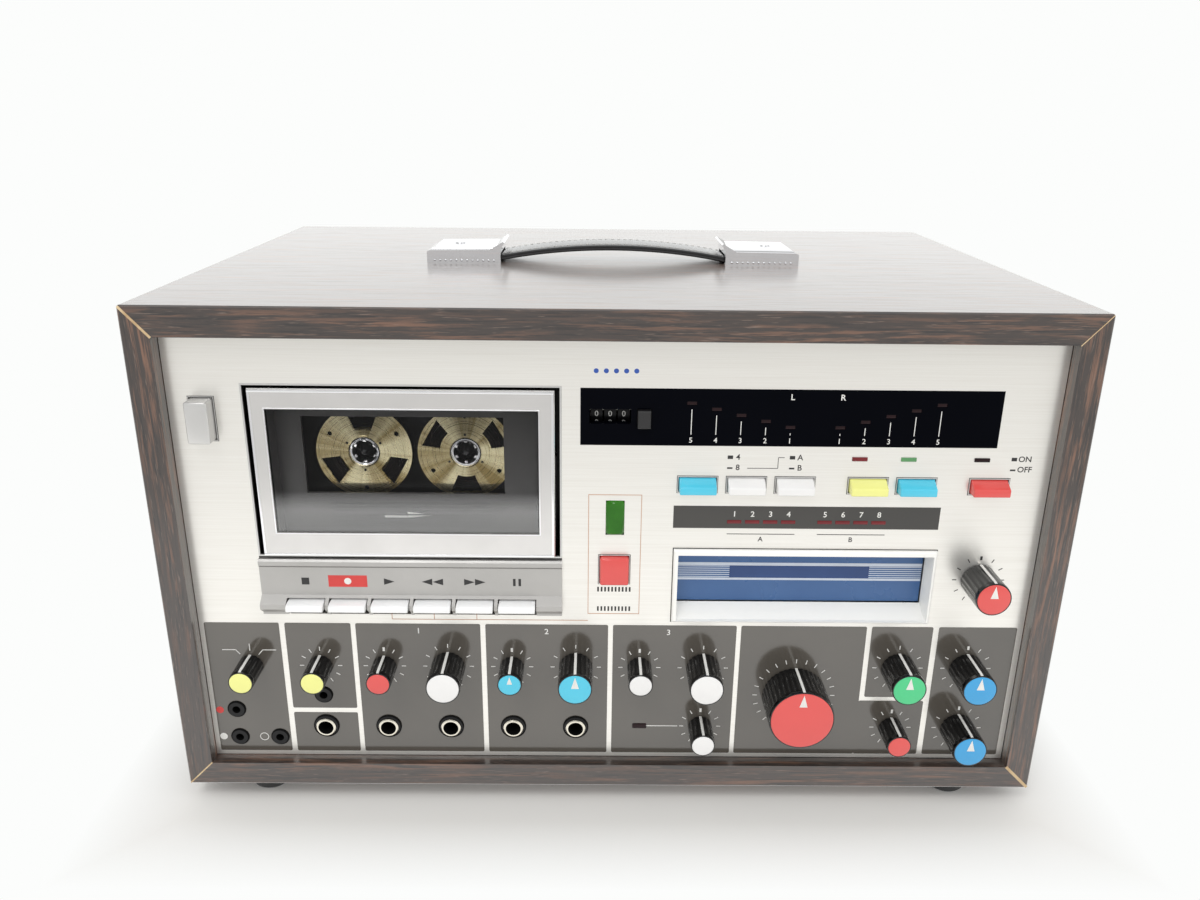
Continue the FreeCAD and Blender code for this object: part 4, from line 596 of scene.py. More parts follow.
knobLook = {"lineWidth": 1.1, "lineProud": 0.1, "lineDeep": 0.6, "fluteDepth": 0.28, "fluteWidth": 1.2,
            "fluteFrom": 2.5, "facets": 8, "nose": 0.98, "rim": 0.45, "base": -0.6, "shaft": 3.0, "cap": 0.8}
knobSizes = {"small": {"pointer": (2.3, 3.6), "scale": (7.4, 9.3, 30)},
             "medium": {"pointer": (3.3, 5.5), "scale": (9.3, 11.1, 30)},
             "large": {"pointer": (3.4, 5.8), "scale": (16.3, 18.3, 15)}}
knobCaps = {
    "knob_selector": "capLemon", "knob_phones_volume": "capLemon", "knob_mic1_pan": "capCoral",
    "knob_mic1_volume": "capWhite", "knob_mic2_pan": "capCyan", "knob_mic2_volume": "capCyan",
    "knob_wireless_pan": "capWhite", "knob_wireless_volume": "capWhite", "knob_tuning": "capWhite",
    "knob_master": "capCoral", "knob_echo": "capGreen", "knob_balance": "capCoral", "knob_treble": "capSky",
    "knob_bass": "capSky", "knob_tape_speed": "capCoral",
}
pointedKnobs = ("knob_mic2_pan", "knob_mic2_volume", "knob_master", "knob_echo", "knob_treble", "knob_bass",
                "knob_tape_speed")


def knobSize(radius):
    return knobSizes["small" if radius < 6 else "medium" if radius < 10 else "large"]


def makeKnob(node, capFinish):
    place = measured(node)
    x, z, radius, tip = place["x"], place["z"], place["radius"], place["front"]
    count = max(12, round(math.pi * radius / knobLook["fluteWidth"]))
    nose = radius * knobLook["nose"]
    seat = nose - knobLook["rim"]
    base, shaft, cap = knobLook["base"], knobLook["shaft"], tip + knobLook["cap"]
    outline = [(0, cap), (seat, cap), (seat, tip + 0.2), (nose - 0.25, tip + 0.2), (nose - 0.05, tip + 0.3),
               (nose, tip + 0.55), (radius - 0.04, tip + 1.6), (radius, tip + 2.2), (radius, tip + 2.8),
               (radius, -3.0), (radius, base), (shaft, base), (shaft, place["back"]), (0, place["back"])]
    bm = bmesh.new()
    addTurned(bm, outline, x, z, count * knobLook["facets"])
    bmesh.ops.remove_doubles(bm, verts=bm.verts, dist=1e-7)
    centre = at(x, 0, z)
    fluteStart = at(0, tip + knobLook["fluteFrom"], 0).y
    for vert in bm.verts:                    # shallow valleys between broad ribs
        out = Vector((vert.co.x - centre.x, 0, vert.co.z - centre.z))
        if vert.co.y > fluteStart and out.length > (radius - 0.1) * mm:
            valley = math.sin(math.atan2(out.x, out.z) * count / 2) ** 2
            vert.co -= out.normalized() * valley * knobLook["fluteDepth"] * mm
    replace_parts(makePiece(node + "_body", bm, "knobBlack", node, 50), node)
    bm = bmesh.new()
    edge = seat - 0.02
    addTurned(bm, [(0, tip), (edge - 0.55, tip), (edge - 0.18, tip + 0.08), (edge, tip + 0.28), (edge, cap),
                   (0, cap)], x, z, 64)
    makePiece(node + "_cap", bm, capFinish, node, 40)
    bm = bmesh.new()
    half, proud, deep = knobLook["lineWidth"] / 2, knobLook["lineProud"], knobLook["lineDeep"]
    noseY = tip + 0.6
    addProfile(bm, [(base, z + radius - deep), (base, z + radius + proud), (tip + 2.0, z + radius + proud),
                    (noseY, z + nose + proud / 2), (noseY, z + nose - deep)], x - half, x + half)
    if node in pointedKnobs:
        width, height = knobSize(radius)["pointer"]
        addWedge(bm, x, z + seat - height / 2 - 0.7, width, height, tip, 0.06)
    makePiece(node + "_pointer", bm, "inkWhite", node)


for node, capFinish in knobCaps.items():
    makeKnob(node, capFinish)
print("knobs made:", len(knobCaps))


# piano keys: a rounded cap that slopes to its nose, an arm and the boss on the key shaft

keyLook = {"soft": 0.45, "thick": 3.8, "back": 3.5, "armHalf": 1.5, "shaftY": 34.0, "shaftDrop": 6.0,
           "bossRadius": 4.5, "bossWide": 6.0}
keyNodes = ("key_stop", "key_record", "key_play", "key_rewind", "key_fast_forward", "key_pause")


def makeKey(node):
    place = measured(node)
    x, half, nose, top = place["x"], place["radius"], place["front"], place["high"]
    low, back, shaftY = top - keyLook["thick"], keyLook["back"], keyLook["shaftY"]
    bm = bmesh.new()
    profile = [(back, top), (nose + 2.2, top - 0.5), (nose + 0.9, top - 0.85), (nose + 0.25, top - 1.35),
               (nose, top - 2.0), (nose, low + 0.45), (nose + 0.45, low), (back, low)]
    addProfile(bm, profile, x - half, x + half)
    sides = [e for e in bm.edges if abs(e.verts[0].co.x - e.verts[1].co.x) < 1e-7]
    roundEdges(bm, sides, keyLook["soft"])
    addBox(bm, x - keyLook["armHalf"], x + keyLook["armHalf"], 3.0, shaftY, low - 0.2, low + 2.6)
    shaft = Matrix.Translation(at(x, shaftY, top - keyLook["shaftDrop"]))
    radius = keyLook["bossRadius"] * mm
    bmesh.ops.create_cone(bm, cap_ends=True, segments=24, radius1=radius, radius2=radius,
                          depth=keyLook["bossWide"] * mm, matrix=shaft @ Matrix.Rotation(math.pi / 2, 4, "Y"))
    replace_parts(makePiece(node + "_cap", bm, "keyWhite", node, 35), node)


for node in keyNodes:
    makeKey(node)


# push buttons: a cap, the collar behind the panel and a stem, with a thin frame round each cap

buttonLook = {"soft": 0.9, "pushSoft": 0.5, "pushFace": 3.2, "frameWidth": 0.3, "frameGap": 0.45,
              "frameProud": 0.35, "pushFrame": 0.4, "pushGap": 0.5, "pushDeep": 1.9, "lineWidth": 0.22,
              "lineProud": 0.04, "collar": 1.2, "collarFront": 2.3, "collarBack": 3.7, "stemHalf": 2.0,
              "ejectStem": 4.0}
buttonCaps = {"button_record": "capCyan", "button_stereo_8": "capWhite", "button_stereo_4": "capWhite",
              "button_cue": "capLemon", "button_pause": "capCyan", "button_power": "capCoral",
              "button_auto_select": "capCoral", "button_eject": "silverPaint"}
capSizes = {"push": (15.1, 5.9), "button_auto_select": (12.1, 12.4), "button_eject": (9.1, 17.4)}


def makeButton(node, capFinish):
    place = measured(node)
    x, z, front = place["x"], place["z"], place["front"]
    wide, high = [size / 2 for size in capSizes.get(node, capSizes["push"])]
    collarFront, collarBack, rim = buttonLook["collarFront"], buttonLook["collarBack"], buttonLook["collar"]
    bm = bmesh.new()
    if node in capSizes:
        addBox(bm, x - wide, x + wide, front, collarFront, z - high, z + high)
    else:                                    # a low front face below a sloping top
        brow = z - high + buttonLook["pushFace"]
        addProfile(bm, [(collarFront, z - high), (front, z - high), (front, brow), (-0.2, z + high),
                        (collarFront, z + high)], x - wide, x + wide)
    ahead = [e for e in bm.edges if min(v.co.y for v in e.verts) < faceY + (front + 0.1) * mm]
    roundEdges(bm, ahead, buttonLook["soft" if node in capSizes else "pushSoft"], 4)
    addBox(bm, x - wide - rim, x + wide + rim, collarFront, collarBack, z - high - rim, z + high + rim)
    stemHalf = buttonLook["stemHalf"]
    stemHigh = buttonLook["ejectStem" if node == "button_eject" else "stemHalf"]
    addBox(bm, x - stemHalf, x + stemHalf, collarBack, place["back"], z - stemHigh, z + stemHigh)
    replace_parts(makePiece(node + "_cap", bm, capFinish, node, 35), node)
    return x, z, wide, high


frames, frameLines = bmesh.new(), bmesh.new()
for node, capFinish in buttonCaps.items():
    x, z, wide, high = makeButton(node, capFinish)
    if node in capSizes:
        gap, frameWidth, deep = buttonLook["frameGap"], buttonLook["frameWidth"], 0.0
    else:                                    # a frame that fills the opening round the cap
        gap, frameWidth, deep = buttonLook["pushGap"], buttonLook["pushFrame"], buttonLook["pushDeep"]
    lineWidth = buttonLook["lineWidth"]
    addOutline(frames, x - wide - gap, x + wide + gap, z - high - gap, z + high + gap, frameWidth, deep,
               deep + buttonLook["frameProud"])
    gap += frameWidth / 2 + lineWidth / 2
    addOutline(frameLines, x - wide - gap, x + wide + gap, z - high - gap, z + high + gap, lineWidth, 0.0,
               buttonLook["lineProud"])
makePiece("buttonLines", frameLines, "inkBlack")
roundEdges(frames, [e for e in frames.edges if e.calc_length() > 2 * mm], 0.08, 1)
makePiece("buttonBezels", frames, "silverPaint")
print("keys and buttons made")


# the carrying strap, its stitches, and the beads and screws on its end caps

strapLook = {"thick": 3.0, "steps": 48, "stitch": (2.1, 0.85, 0.4), "stitchGap": 1.0, "stitchInset": 2.2,
             "stitchAt": 2.93}
capLook = {"length": 35.5, "overlap": 4.0, "beads": 12, "beadFrom": 3.2, "beadPitch": 2.6, "bead": 0.55,
           "beadAt": 1.3, "screwFrom": 21.0, "screw": 3.0, "screwSunk": 2.5}


def makeStrap():
    place = measured("handle_strap")
    top = measured("cabinet")["high"]
    thick = strapLook["thick"]
    rise = place["high"] - thick - top
    # where the strap leaves a cap, and the arc that it rises in
    root = measured("handle_end_caps")["right"] - capLook["length"] + capLook["overlap"]
    radius = (root ** 2 + rise ** 2) / (2 * rise)
    spread = 2 * math.asin(root / radius)
    front, back = place["front"], place["back"]
    middle = (front + back) / 2
    centre = at(0, middle, top + rise - radius)
    # a padded upper layer and a flat lower one, with a groove between them
    flank = [(0.5, 0.0), (0.0, 0.5), (0.0, 1.3), (0.6, 1.45), (0.6, 1.7), (0.0, 1.9), (0.2, 2.5), (1.2, 2.8),
             (3.4, thick)]
    outline = [(back - inset, height) for inset, height in flank]
    outline += [(front + inset, height) for inset, height in reversed(flank)]
    bm = bmesh.new()
    tilt = Matrix.Rotation(-spread / 2, 4, "Y")
    ring = [bm.verts.new(centre + tilt @ Vector((0, (y - middle) * mm, (radius + height) * mm)))
            for y, height in outline]
    face = bm.faces.new(ring)
    bmesh.ops.spin(bm, geom=[face] + list(face.edges), cent=centre, axis=(0, 1, 0), angle=spread,
                   steps=strapLook["steps"])
    for side in (-1, 1):                     # the flat ends inside the caps
        reach = sorted((side * (root - 0.2), side * (place["radius"] - 0.3)))
        addBox(bm, reach[0], reach[1], front + 0.3, back - 0.3, top + 0.1, top + thick - 0.2)
    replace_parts(makePiece("strap", bm, "strapVinyl", "root", 40), "handle_strap")
    bm = bmesh.new()
    pitch = (strapLook["stitch"][0] + strapLook["stitchGap"]) / radius
    count = int((spread - 0.03) / pitch)
    size = Matrix.Diagonal([length * mm for length in strapLook["stitch"]] + [1])
    for y in (front + strapLook["stitchInset"], back - strapLook["stitchInset"]):
        for i in range(count):
            spin = Matrix.Rotation((i - (count - 1) / 2) * pitch, 4, "Y")
            spot = spin @ Vector((0, (y - middle) * mm, (radius + strapLook["stitchAt"]) * mm))
            bmesh.ops.create_icosphere(bm, subdivisions=1, radius=0.5,
                                       matrix=Matrix.Translation(centre + spot) @ spin @ size)
    makePiece("strapStitches", bm, "strapThread", "root", 60)


def makeCapDetails():
    place = measured("handle_end_caps")
    beadZ = measured("cabinet")["high"] + capLook["beadAt"]
    inner = place["right"] - capLook["length"]
    beads, screws = bmesh.new(), bmesh.new()
    for side in (-1, 1):
        for y in (place["front"], place["back"]):
            for i in range(capLook["beads"]):    # a row of embossed beads along the lower edge
                x = side * (inner + capLook["beadFrom"] + i * capLook["beadPitch"])
                bmesh.ops.create_icosphere(beads, subdivisions=2, radius=capLook["bead"] * mm,
                                           matrix=Matrix.Translation(at(x, y, beadZ)))
        addBall(screws, side * (inner + capLook["screwFrom"]), (place["front"] + place["back"]) / 2,
                place["high"] - capLook["screwSunk"], capLook["screw"], (1, 1, 0.4), Matrix.Identity(4), 24)
    makePiece("capBeads", beads, "chromePlate", "root", 60)
    makePiece("capScrews", screws, "chromePlate", "root", 60)


makeStrap()
makeCapDetails()
print("handle made")


# the dark painted fields behind the controls, with holes for the jacks, and the strip over the slot

bandLook = {"low": 13.5, "high": 79.0, "corner": 0.7, "stripRise": 9.6, "stripHigh": 10.0}
bandLow, bandHigh = bandLook["low"], bandLook["high"]
bands = [(-176.5, -144.2, bandLow, bandHigh), (-141.8, -113.3, 36.2, bandHigh),
         (-141.8, -113.3, bandLow, 33.8), (-111.2, -57.2, bandLow, bandHigh),
         (-55.0, -1.8, bandLow, bandHigh), (0.3, 54.0, bandLow, bandHigh),
         (56.0, 110.6, bandLow, bandHigh), (110.6, 139.5, bandLow, 41.6),
         (112.8, 139.5, 43.6, bandHigh), (142.0, 176.0, bandLow, bandHigh)]
holeLook = {"large": 4.9, "small": 3.4, "largeZ": 27.0, "phonesRise": 16.2, "lineInset": 11.8, "lineZ": 21.0,
            "linePitchX": 18.0, "linePitchZ": 14.4}
holeKnobs = ("knob_phones_volume", "knob_mic1_pan", "knob_mic1_volume", "knob_mic2_pan", "knob_mic2_volume")


def jackHoles():
    # a large one below each of these knobs, a small one above the first, and three at the panel's end
    columns = [measured(node)["x"] for node in holeKnobs]
    lineX, lineZ = measured("front_panel")["left"] + holeLook["lineInset"], holeLook["lineZ"]
    small = [(columns[0], holeLook["largeZ"] + holeLook["phonesRise"]), (lineX, lineZ),
             (lineX, lineZ + holeLook["linePitchZ"]), (lineX + holeLook["linePitchX"], lineZ)]
    large = [(x, holeLook["largeZ"], holeLook["large"]) for x in columns]
    return large + [(x, z, holeLook["small"]) for x, z in small]


def makeBands():
    bm = bmesh.new()
    for x0, x1, z0, z1 in bands:
        addBox(bm, x0, x1, -paint, 0.0, z0, z1)
    upright = [e for e in bm.edges if abs(e.verts[0].co.y - e.verts[1].co.y) > 1e-6]
    roundEdges(bm, upright, bandLook["corner"], 4)
    piece = makePiece("controlBands", bm, "bandPaint")
    bm = bmesh.new()
    for x, z, radius in jackHoles():
        addDot(bm, x, z, radius, 1.0, 3.0, 40)
    mesh = bpy.data.meshes.new("punch")
    bm.to_mesh(mesh)
    bm.free()
    punch = bpy.data.objects.new("punch", mesh)
    bpy.context.scene.collection.objects.link(punch)
    cut = piece.modifiers.new("jackHoles", "BOOLEAN")
    cut.object = punch
    cut.operation = "DIFFERENCE"
    graph = bpy.context.evaluated_depsgraph_get()
    holed = bpy.data.meshes.new_from_object(piece.evaluated_get(graph), depsgraph=graph)
    piece.modifiers.clear()
    piece.data = holed
    bpy.data.objects.remove(punch)
    bpy.data.meshes.remove(mesh)


makeBands()
bezel = measured("cartridge_bezel")
stripLow = bezel["high"] + bandLook["stripRise"]
bm = bmesh.new()
addBox(bm, bezel["left"] - 0.7, bezel["right"] - 0.8, -paint, 0.0, stripLow, stripLow + bandLook["stripHigh"])
makePiece("trackStrip", bm, "stripPaint")


# printing: scales round the knobs, plain numbers and letters, and the marks of the switches

printLook = {"tick": 0.38, "thickTick": 0.95, "arrow": 0.36, "tuningLine": 0.4, "line": 0.3, "thinLine": 0.25,
             "frameLine": 0.28, "grille": 0.75, "title": 2.6, "word": 2.4, "number": 2.2, "letter": 2.1}
thickTicks = ("knob_mic1_pan", "knob_mic2_pan", "knob_wireless_pan", "knob_tuning", "knob_balance",
              "knob_treble", "knob_bass", "knob_tape_speed")
selectorArrows = (((-12.0, 7.6), (-6.2, 7.6), (-4.4, 5.4)), ((0.0, 7.2), (0.0, 10.6)),
                  ((3.6, 5.2), (5.6, 7.6), (11.5, 7.6)))
dotRadius = 1.7
onBand = -paint


def addTicks(bm, node, y):
    place = measured(node)
    inner, outer, step = knobSize(place["radius"])["scale"]
    for degrees in range(-150, 151, step):
        across, up = math.sin(math.radians(degrees)), math.cos(math.radians(degrees))
        wide = printLook["thickTick" if degrees == 0 and node in thickTicks else "tick"]
        addBar(bm, place["x"] + inner * across, place["z"] + inner * up, place["x"] + outer * across,
               place["z"] + outer * up, wide, y)


bm = bmesh.new()
for node in knobCaps:
    if node not in ("knob_selector", "knob_tape_speed"):
        addTicks(bm, node, onBand)
selector, tuning = measured("knob_selector"), measured("knob_tuning")
for path in selectorArrows:
    for (x0, z0), (x1, z1) in zip(path, path[1:]):
        addBar(bm, selector["x"] + x0, selector["z"] + z0, selector["x"] + x1, selector["z"] + z1,
               printLook["arrow"], onBand)
for words, x in (("1", -84.0), ("2", -28.5), ("3", 24.5)):
    addWords(bm, words, x, 75.5, printLook["title"], onBand)
addRing(bm, -156.2, 20.9, 2.0, dotRadius, onBand)
addDot(bm, -174.5, 20.9, dotRadius, onBand)
addBar(bm, 15.9, tuning["z"], 30.0, tuning["z"], printLook["tuningLine"], onBand)
makePiece("whitePrint", bm, "inkWhite")

bm = bmesh.new()
addDot(bm, -174.6, 34.8, dotRadius, onBand)
makePiece("redDot", bm, "inkRed")

levelLook = {"pitch": 10.0, "leftFrom": 30.4, "rightFrom": 90.5, "numberZ": 163.9, "lineZ": 166.4,
             "lampZ": 169.7, "step": 2.45, "lineShort": 0.8, "sideZ": 182.3, "face": -0.3}
levelColumns = [(levelLook["leftFrom"] + levelLook["pitch"] * i, 5 - i) for i in range(5)]
levelColumns += [(levelLook["rightFrom"] + levelLook["pitch"] * i, i + 1) for i in range(5)]
bm = bmesh.new()
for x, level in levelColumns:
    addWords(bm, str(level), x, levelLook["numberZ"], printLook["number"], levelLook["face"], bold=0.004)
    lineTop = levelLook["lineZ"] + levelLook["lineShort"] + levelLook["step"] * (level - 1)
    addBar(bm, x, levelLook["lineZ"], x, lineTop, printLook["line"], levelLook["face"])
for words, x in (("L", 70.4), ("R", 90.5)):
    addWords(bm, words, x, levelLook["sideZ"], printLook["word"], levelLook["face"])
makePiece("windowPrint", bm, "inkWhite")

trackColumns = [start + 7.5 * i for start in (50.0, 87.7) for i in range(4)]
bm = bmesh.new()
for i, x in enumerate(trackColumns):
    addWords(bm, str(i + 1), x, stripLow + 6.4, printLook["word"], onBand)
makePiece("trackNumbers", bm, "inkWhite")

pushZ = measured("button_power")["z"]
outZ, inZ = pushZ + 12.0, pushZ + 7.3        # the marks for a button that stands out or is pushed in
select = measured("button_auto_select")
bm = bmesh.new()
addTicks(bm, "knob_tape_speed", 0.0)
for x0, x1, letter in ((47.2, 75.6, "A"), (85.0, 113.4, "B")):
    addBar(bm, x0, stripLow - 2.6, x1, stripLow - 2.6, printLook["line"])
    addWords(bm, letter, (x0 + x1) / 2, stripLow - 5.0, printLook["letter"])
for x, upper, lower in ((46.9, "4", "8"), (72.2, "A", "B"), (162.8, "ON", "OFF")):
    addBar(bm, x - 1.1, outZ, x + 1.1, outZ, 1.5)
    addBar(bm, x - 1.1, inZ, x + 1.1, inZ, 0.7)
    upperX = x + (4.4 if len(upper) > 1 else 3.2)
    addWords(bm, upper, upperX, outZ, printLook["word"])
    addWords(bm, lower, upperX + (0.4 if len(lower) > 1 else 0), inZ + 0.2, printLook["word"])
for x0, z0, x1, z1 in ((54.0, inZ, 66.5, inZ), (66.5, inZ, 66.5, outZ), (66.5, outZ, 69.0, outZ)):
    addBar(bm, x0, z0, x1, z1, printLook["thinLine"])
for z in (96.3, 87.0):                       # two rows of upright strokes below the auto-select button
    for i in range(10):
        x = select["x"] + (i - 4.5) * 1.5
        addBar(bm, x, z - 1.1, x, z + 1.1, printLook["grille"])
makePiece("blackPrint", bm, "inkBlack")

selectFrame = {"left": select["x"] - 11.0, "right": select["x"] + 10.9, "low": 84.6, "high": 139.8}
keyLines = {"z": 81.2, "x": (-95.0, -76.8, -58.5)}     # a line under three of the keys, with a riser to each
bm = bmesh.new()
addOutline(bm, *selectFrame.values(), printLook["frameLine"])
addBar(bm, keyLines["x"][0], keyLines["z"], selectFrame["left"], keyLines["z"], printLook["frameLine"])
for x in keyLines["x"]:
    addBar(bm, x, keyLines["z"], x, selectFrame["low"], printLook["frameLine"])
makePiece("rustPrint", bm, "inkRust")

bm = bmesh.new()
for i in range(5):                           # a plain row of dots
    addDot(bm, -8.0 + 4 * i, 192.5, 1.0)
makePiece("bluePrint", bm, "inkBlue")
print("panel printed")


# signs on the key cover: stop, record, play, rewind, fast forward, pause

iconLook = {"z": 100.0, "face": -1.6, "thick": 0.06, "stop": 1.6, "arrow": (3.0, 4.4), "pair": 2.3,
            "pause": 1.1, "pauseHalf": 1.7, "label": 8.2, "labelDrop": 2.6, "labelRise": 2.8, "dot": 1.5}
stopX, recordX, playX, rewindX, forwardX, pauseX = [measured(node)["x"] for node in keyNodes]
iconZ, onCover, iconThick = iconLook["z"], iconLook["face"], iconLook["thick"]
bm = bmesh.new()
addBox(bm, stopX - iconLook["stop"], stopX + iconLook["stop"], onCover - iconThick, onCover,
       iconZ - iconLook["stop"], iconZ + iconLook["stop"])
addWedge(bm, playX - 0.4, iconZ, *iconLook["arrow"], onCover, iconThick, math.pi / 2)
for shift in (-iconLook["pair"], iconLook["pair"]):
    addWedge(bm, rewindX + shift, iconZ, *iconLook["arrow"], onCover, iconThick, -math.pi / 2)
    addWedge(bm, forwardX + shift, iconZ, *iconLook["arrow"], onCover, iconThick, math.pi / 2)
    x, half = pauseX + shift / 2, iconLook["pauseHalf"]
    addBar(bm, x, iconZ - half, x, iconZ + half, iconLook["pause"], onCover, iconThick)
makePiece("keyIcons", bm, "inkBlack")
bm = bmesh.new()
addBox(bm, recordX - iconLook["label"], recordX + iconLook["label"], onCover - iconThick, onCover,
       iconZ - iconLook["labelDrop"], iconZ + iconLook["labelRise"])
makePiece("recordLabel", bm, "inkRed")
bm = bmesh.new()
addDot(bm, recordX, iconZ + 0.1, iconLook["dot"], onCover - iconThick)
makePiece("recordDot", bm, "inkWhite")


# bright edges of the door and its pane, the lip of the opening, the bezel's line and the holder's print

trimLook = {"doorFace": -1.5, "edge": 0.8, "edgeWidth": 0.9, "underPane": 10.7, "paneGap": 0.3,
            "paneWidth": 0.45, "lipGap": 2.4, "lipLow": 111.2, "lipRise": 1.5, "lipWidth": 0.7,
            "bezelGap": 0.2, "bezelWidth": 0.4}
holderLook = {"face": 8.6, "lines": 7, "low": 121.6, "pitch": 1.7, "left": -119.0, "right": -52.0,
              "width": 0.85}
door, pane = measured("door_frame"), measured("door_window")
bm = bmesh.new()
edge, gap = trimLook["edge"], trimLook["paneGap"]
addOutline(bm, door["left"] + edge, door["right"] - edge, pane["low"] - trimLook["underPane"] + edge,
           door["high"] - edge, trimLook["edgeWidth"], trimLook["doorFace"] + 0.35, 0.5)
addOutline(bm, pane["left"] - gap, pane["right"] + gap, pane["low"] - gap, pane["high"] + gap,
           trimLook["paneWidth"], trimLook["doorFace"], paint)
roundEdges(bm, [e for e in bm.edges if e.calc_length() > 5 * mm], 0.12, 2)
makePiece("doorTrim", bm, "chromePlate", "door")

bm = bmesh.new()
addOutline(bm, door["left"] - trimLook["lipGap"], door["right"] + trimLook["lipGap"], trimLook["lipLow"],
           door["high"] + trimLook["lipRise"], trimLook["lipWidth"], 0.6, 0.8)
makePiece("openingLip", bm, "silverPaint")
bm = bmesh.new()
gap = trimLook["bezelGap"]
addOutline(bm, bezel["left"] - gap, bezel["right"] + gap, bezel["low"] - gap, bezel["high"] + gap,
           trimLook["bezelWidth"], 0.0, 0.04)
makePiece("bezelLine", bm, "inkBlack")

bm = bmesh.new()
for i in range(holderLook["lines"]):
    z = holderLook["low"] + i * holderLook["pitch"]
    addBar(bm, holderLook["left"], z, holderLook["right"], z, holderLook["width"], holderLook["face"], paint)
makePiece("holderLines", bm, "inkBlack", "door")
bm = bmesh.new()                             # an arrow that shows which way the tape runs
addBox(bm, -97.0, -87.4, holderLook["face"] - paint, holderLook["face"], 125.2, 126.6)
addWedge(bm, -82.0, 126.6, 2.8, 10.6, holderLook["face"], paint, math.pi / 2)
makePiece("holderArrow", bm, "inkWhite", "door")
print("deck trimmed")


# the left reel stopped one tooth of its spindle further round, and three small screws in each reel

reelLook = {"spin": 60, "screws": 3, "screwAt": 8.0, "screw": 0.55, "screwProud": 0.1}


def turnReel(node, finish, spin):
    place = measured(node)
    bm = bmesh.new()
    bm.from_mesh(frame["nodes"][node].data)
    bmesh.ops.remove_doubles(bm, verts=bm.verts, dist=1e-7)
    bmesh.ops.rotate(bm, verts=bm.verts, cent=at(place["x"], 0, place["z"]),
                     matrix=Matrix.Rotation(math.radians(spin), 3, "Y"))
    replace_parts(makePiece(node + "_turned", bm, finish, node, 30), node)


def addReelScrews(node, spin):
    place = measured(node)
    reach = reelLook["screwAt"]
    bm = bmesh.new()
    for i in range(reelLook["screws"]):
        angle = math.radians(spin) + fullTurn * i / reelLook["screws"]
        x, z = place["x"] + reach * math.sin(angle), place["z"] + reach * math.cos(angle)
        addDot(bm, x, z, reelLook["screw"], place["front"], reelLook["screwProud"])
    makePiece(node + "_screws", bm, "deckBlack", node, 40)


turnReel("reel_left", "reelGoldLeft", reelLook["spin"])
addReelScrews("reel_left", reelLook["spin"])
addReelScrews("reel_right", 0)
print("reels turned")


# the counter's numbers, ten round each wheel

counterLook = {"height": 2.3, "thick": 0.2, "sunk": 0.02}


def wheelNumbers(node):
    place = measured(node)
    reach = (place["back"] - place["front"]) / 2 - counterLook["sunk"]
    centre = Matrix.Translation(at(place["x"], (place["front"] + place["back"]) / 2, place["z"]))
    bm = bmesh.new()
    for digit in range(10):
        spin = Matrix.Rotation(-fullTurn * digit / 10, 4, "X")
        spot = centre @ spin @ Matrix.Translation((0, -reach * mm, 0))
        addWords(bm, str(digit), 0, 0, counterLook["height"], 0.0, counterLook["thick"], spot, 0.0)
    makePiece(node + "_numbers", bm, "inkGrey", node)


for node in finishNodes["wheelBlack"].split():
    wheelNumbers(node)


# lamps: clear coloured lenses that stand a little out of the window, the strip and the panel

lampLook = {"back": 6.0, "level": (4.0, 1.5), "track": (6.0, 1.5), "status": (6.3, 1.7), "tuning": (6.3, 2.4),
            "green": (7.8, 15.5), "statusShift": 4.3, "statusRise": 11.6, "tuningShift": 27.25,
            "greenRise": 23.8}
lampFinish = {"lampsDark": "lensDark", "lampsRed": "lensRed", "lampsLeaf": "lensLeaf",
              "lampGreen": "lensGreen"}
lamps = {name: bmesh.new() for name in lampFinish}


def addLens(group, x, z, size, front, soft, back=lampLook["back"], segments=2):
    bm = lamps[group]
    wide, high = size
    verts = addBox(bm, x - wide / 2, x + wide / 2, front, back, z - high / 2, z + high / 2)
    limit = faceY + (front + 0.05) * mm
    edges = {e for v in verts for e in v.link_edges if min(w.co.y for w in e.verts) < limit}
    roundEdges(bm, list(edges), soft, segments)


for x, level in levelColumns:
    z = levelLook["lampZ"] + levelLook["step"] * (level - 1)
    addLens("lampsDark", x, z, lampLook["level"], -0.1, 0.1)
for x in trackColumns:
    addLens("lampsRed", x, stripLow + 3.0, lampLook["track"], -0.35, 0.1, -0.1)
    addBox(lamps["lampsRed"], x - 3.0, x + 3.0, -0.1, 4.0, stripLow + 2.5, stripLow + 3.5)
for group, node in (("lampsRed", "button_cue"), ("lampsLeaf", "button_pause"), ("lampsDark", "button_power")):
    addLens(group, measured(node)["x"] - lampLook["statusShift"], pushZ + lampLook["statusRise"],
            lampLook["status"], -0.5, 0.25)
addLens("lampsDark", tuning["x"] - lampLook["tuningShift"], tuning["z"], lampLook["tuning"], -0.6, 0.35, 8.0)
addLens("lampGreen", select["x"], select["z"] + lampLook["greenRise"], lampLook["green"], -1.2, 1.1,
        segments=1)
for name, bm in lamps.items():
    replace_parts(makePiece(name, bm, lampFinish[name], "root", 40), "indicator_lamps")


# stripes and a bare label on the blue flap

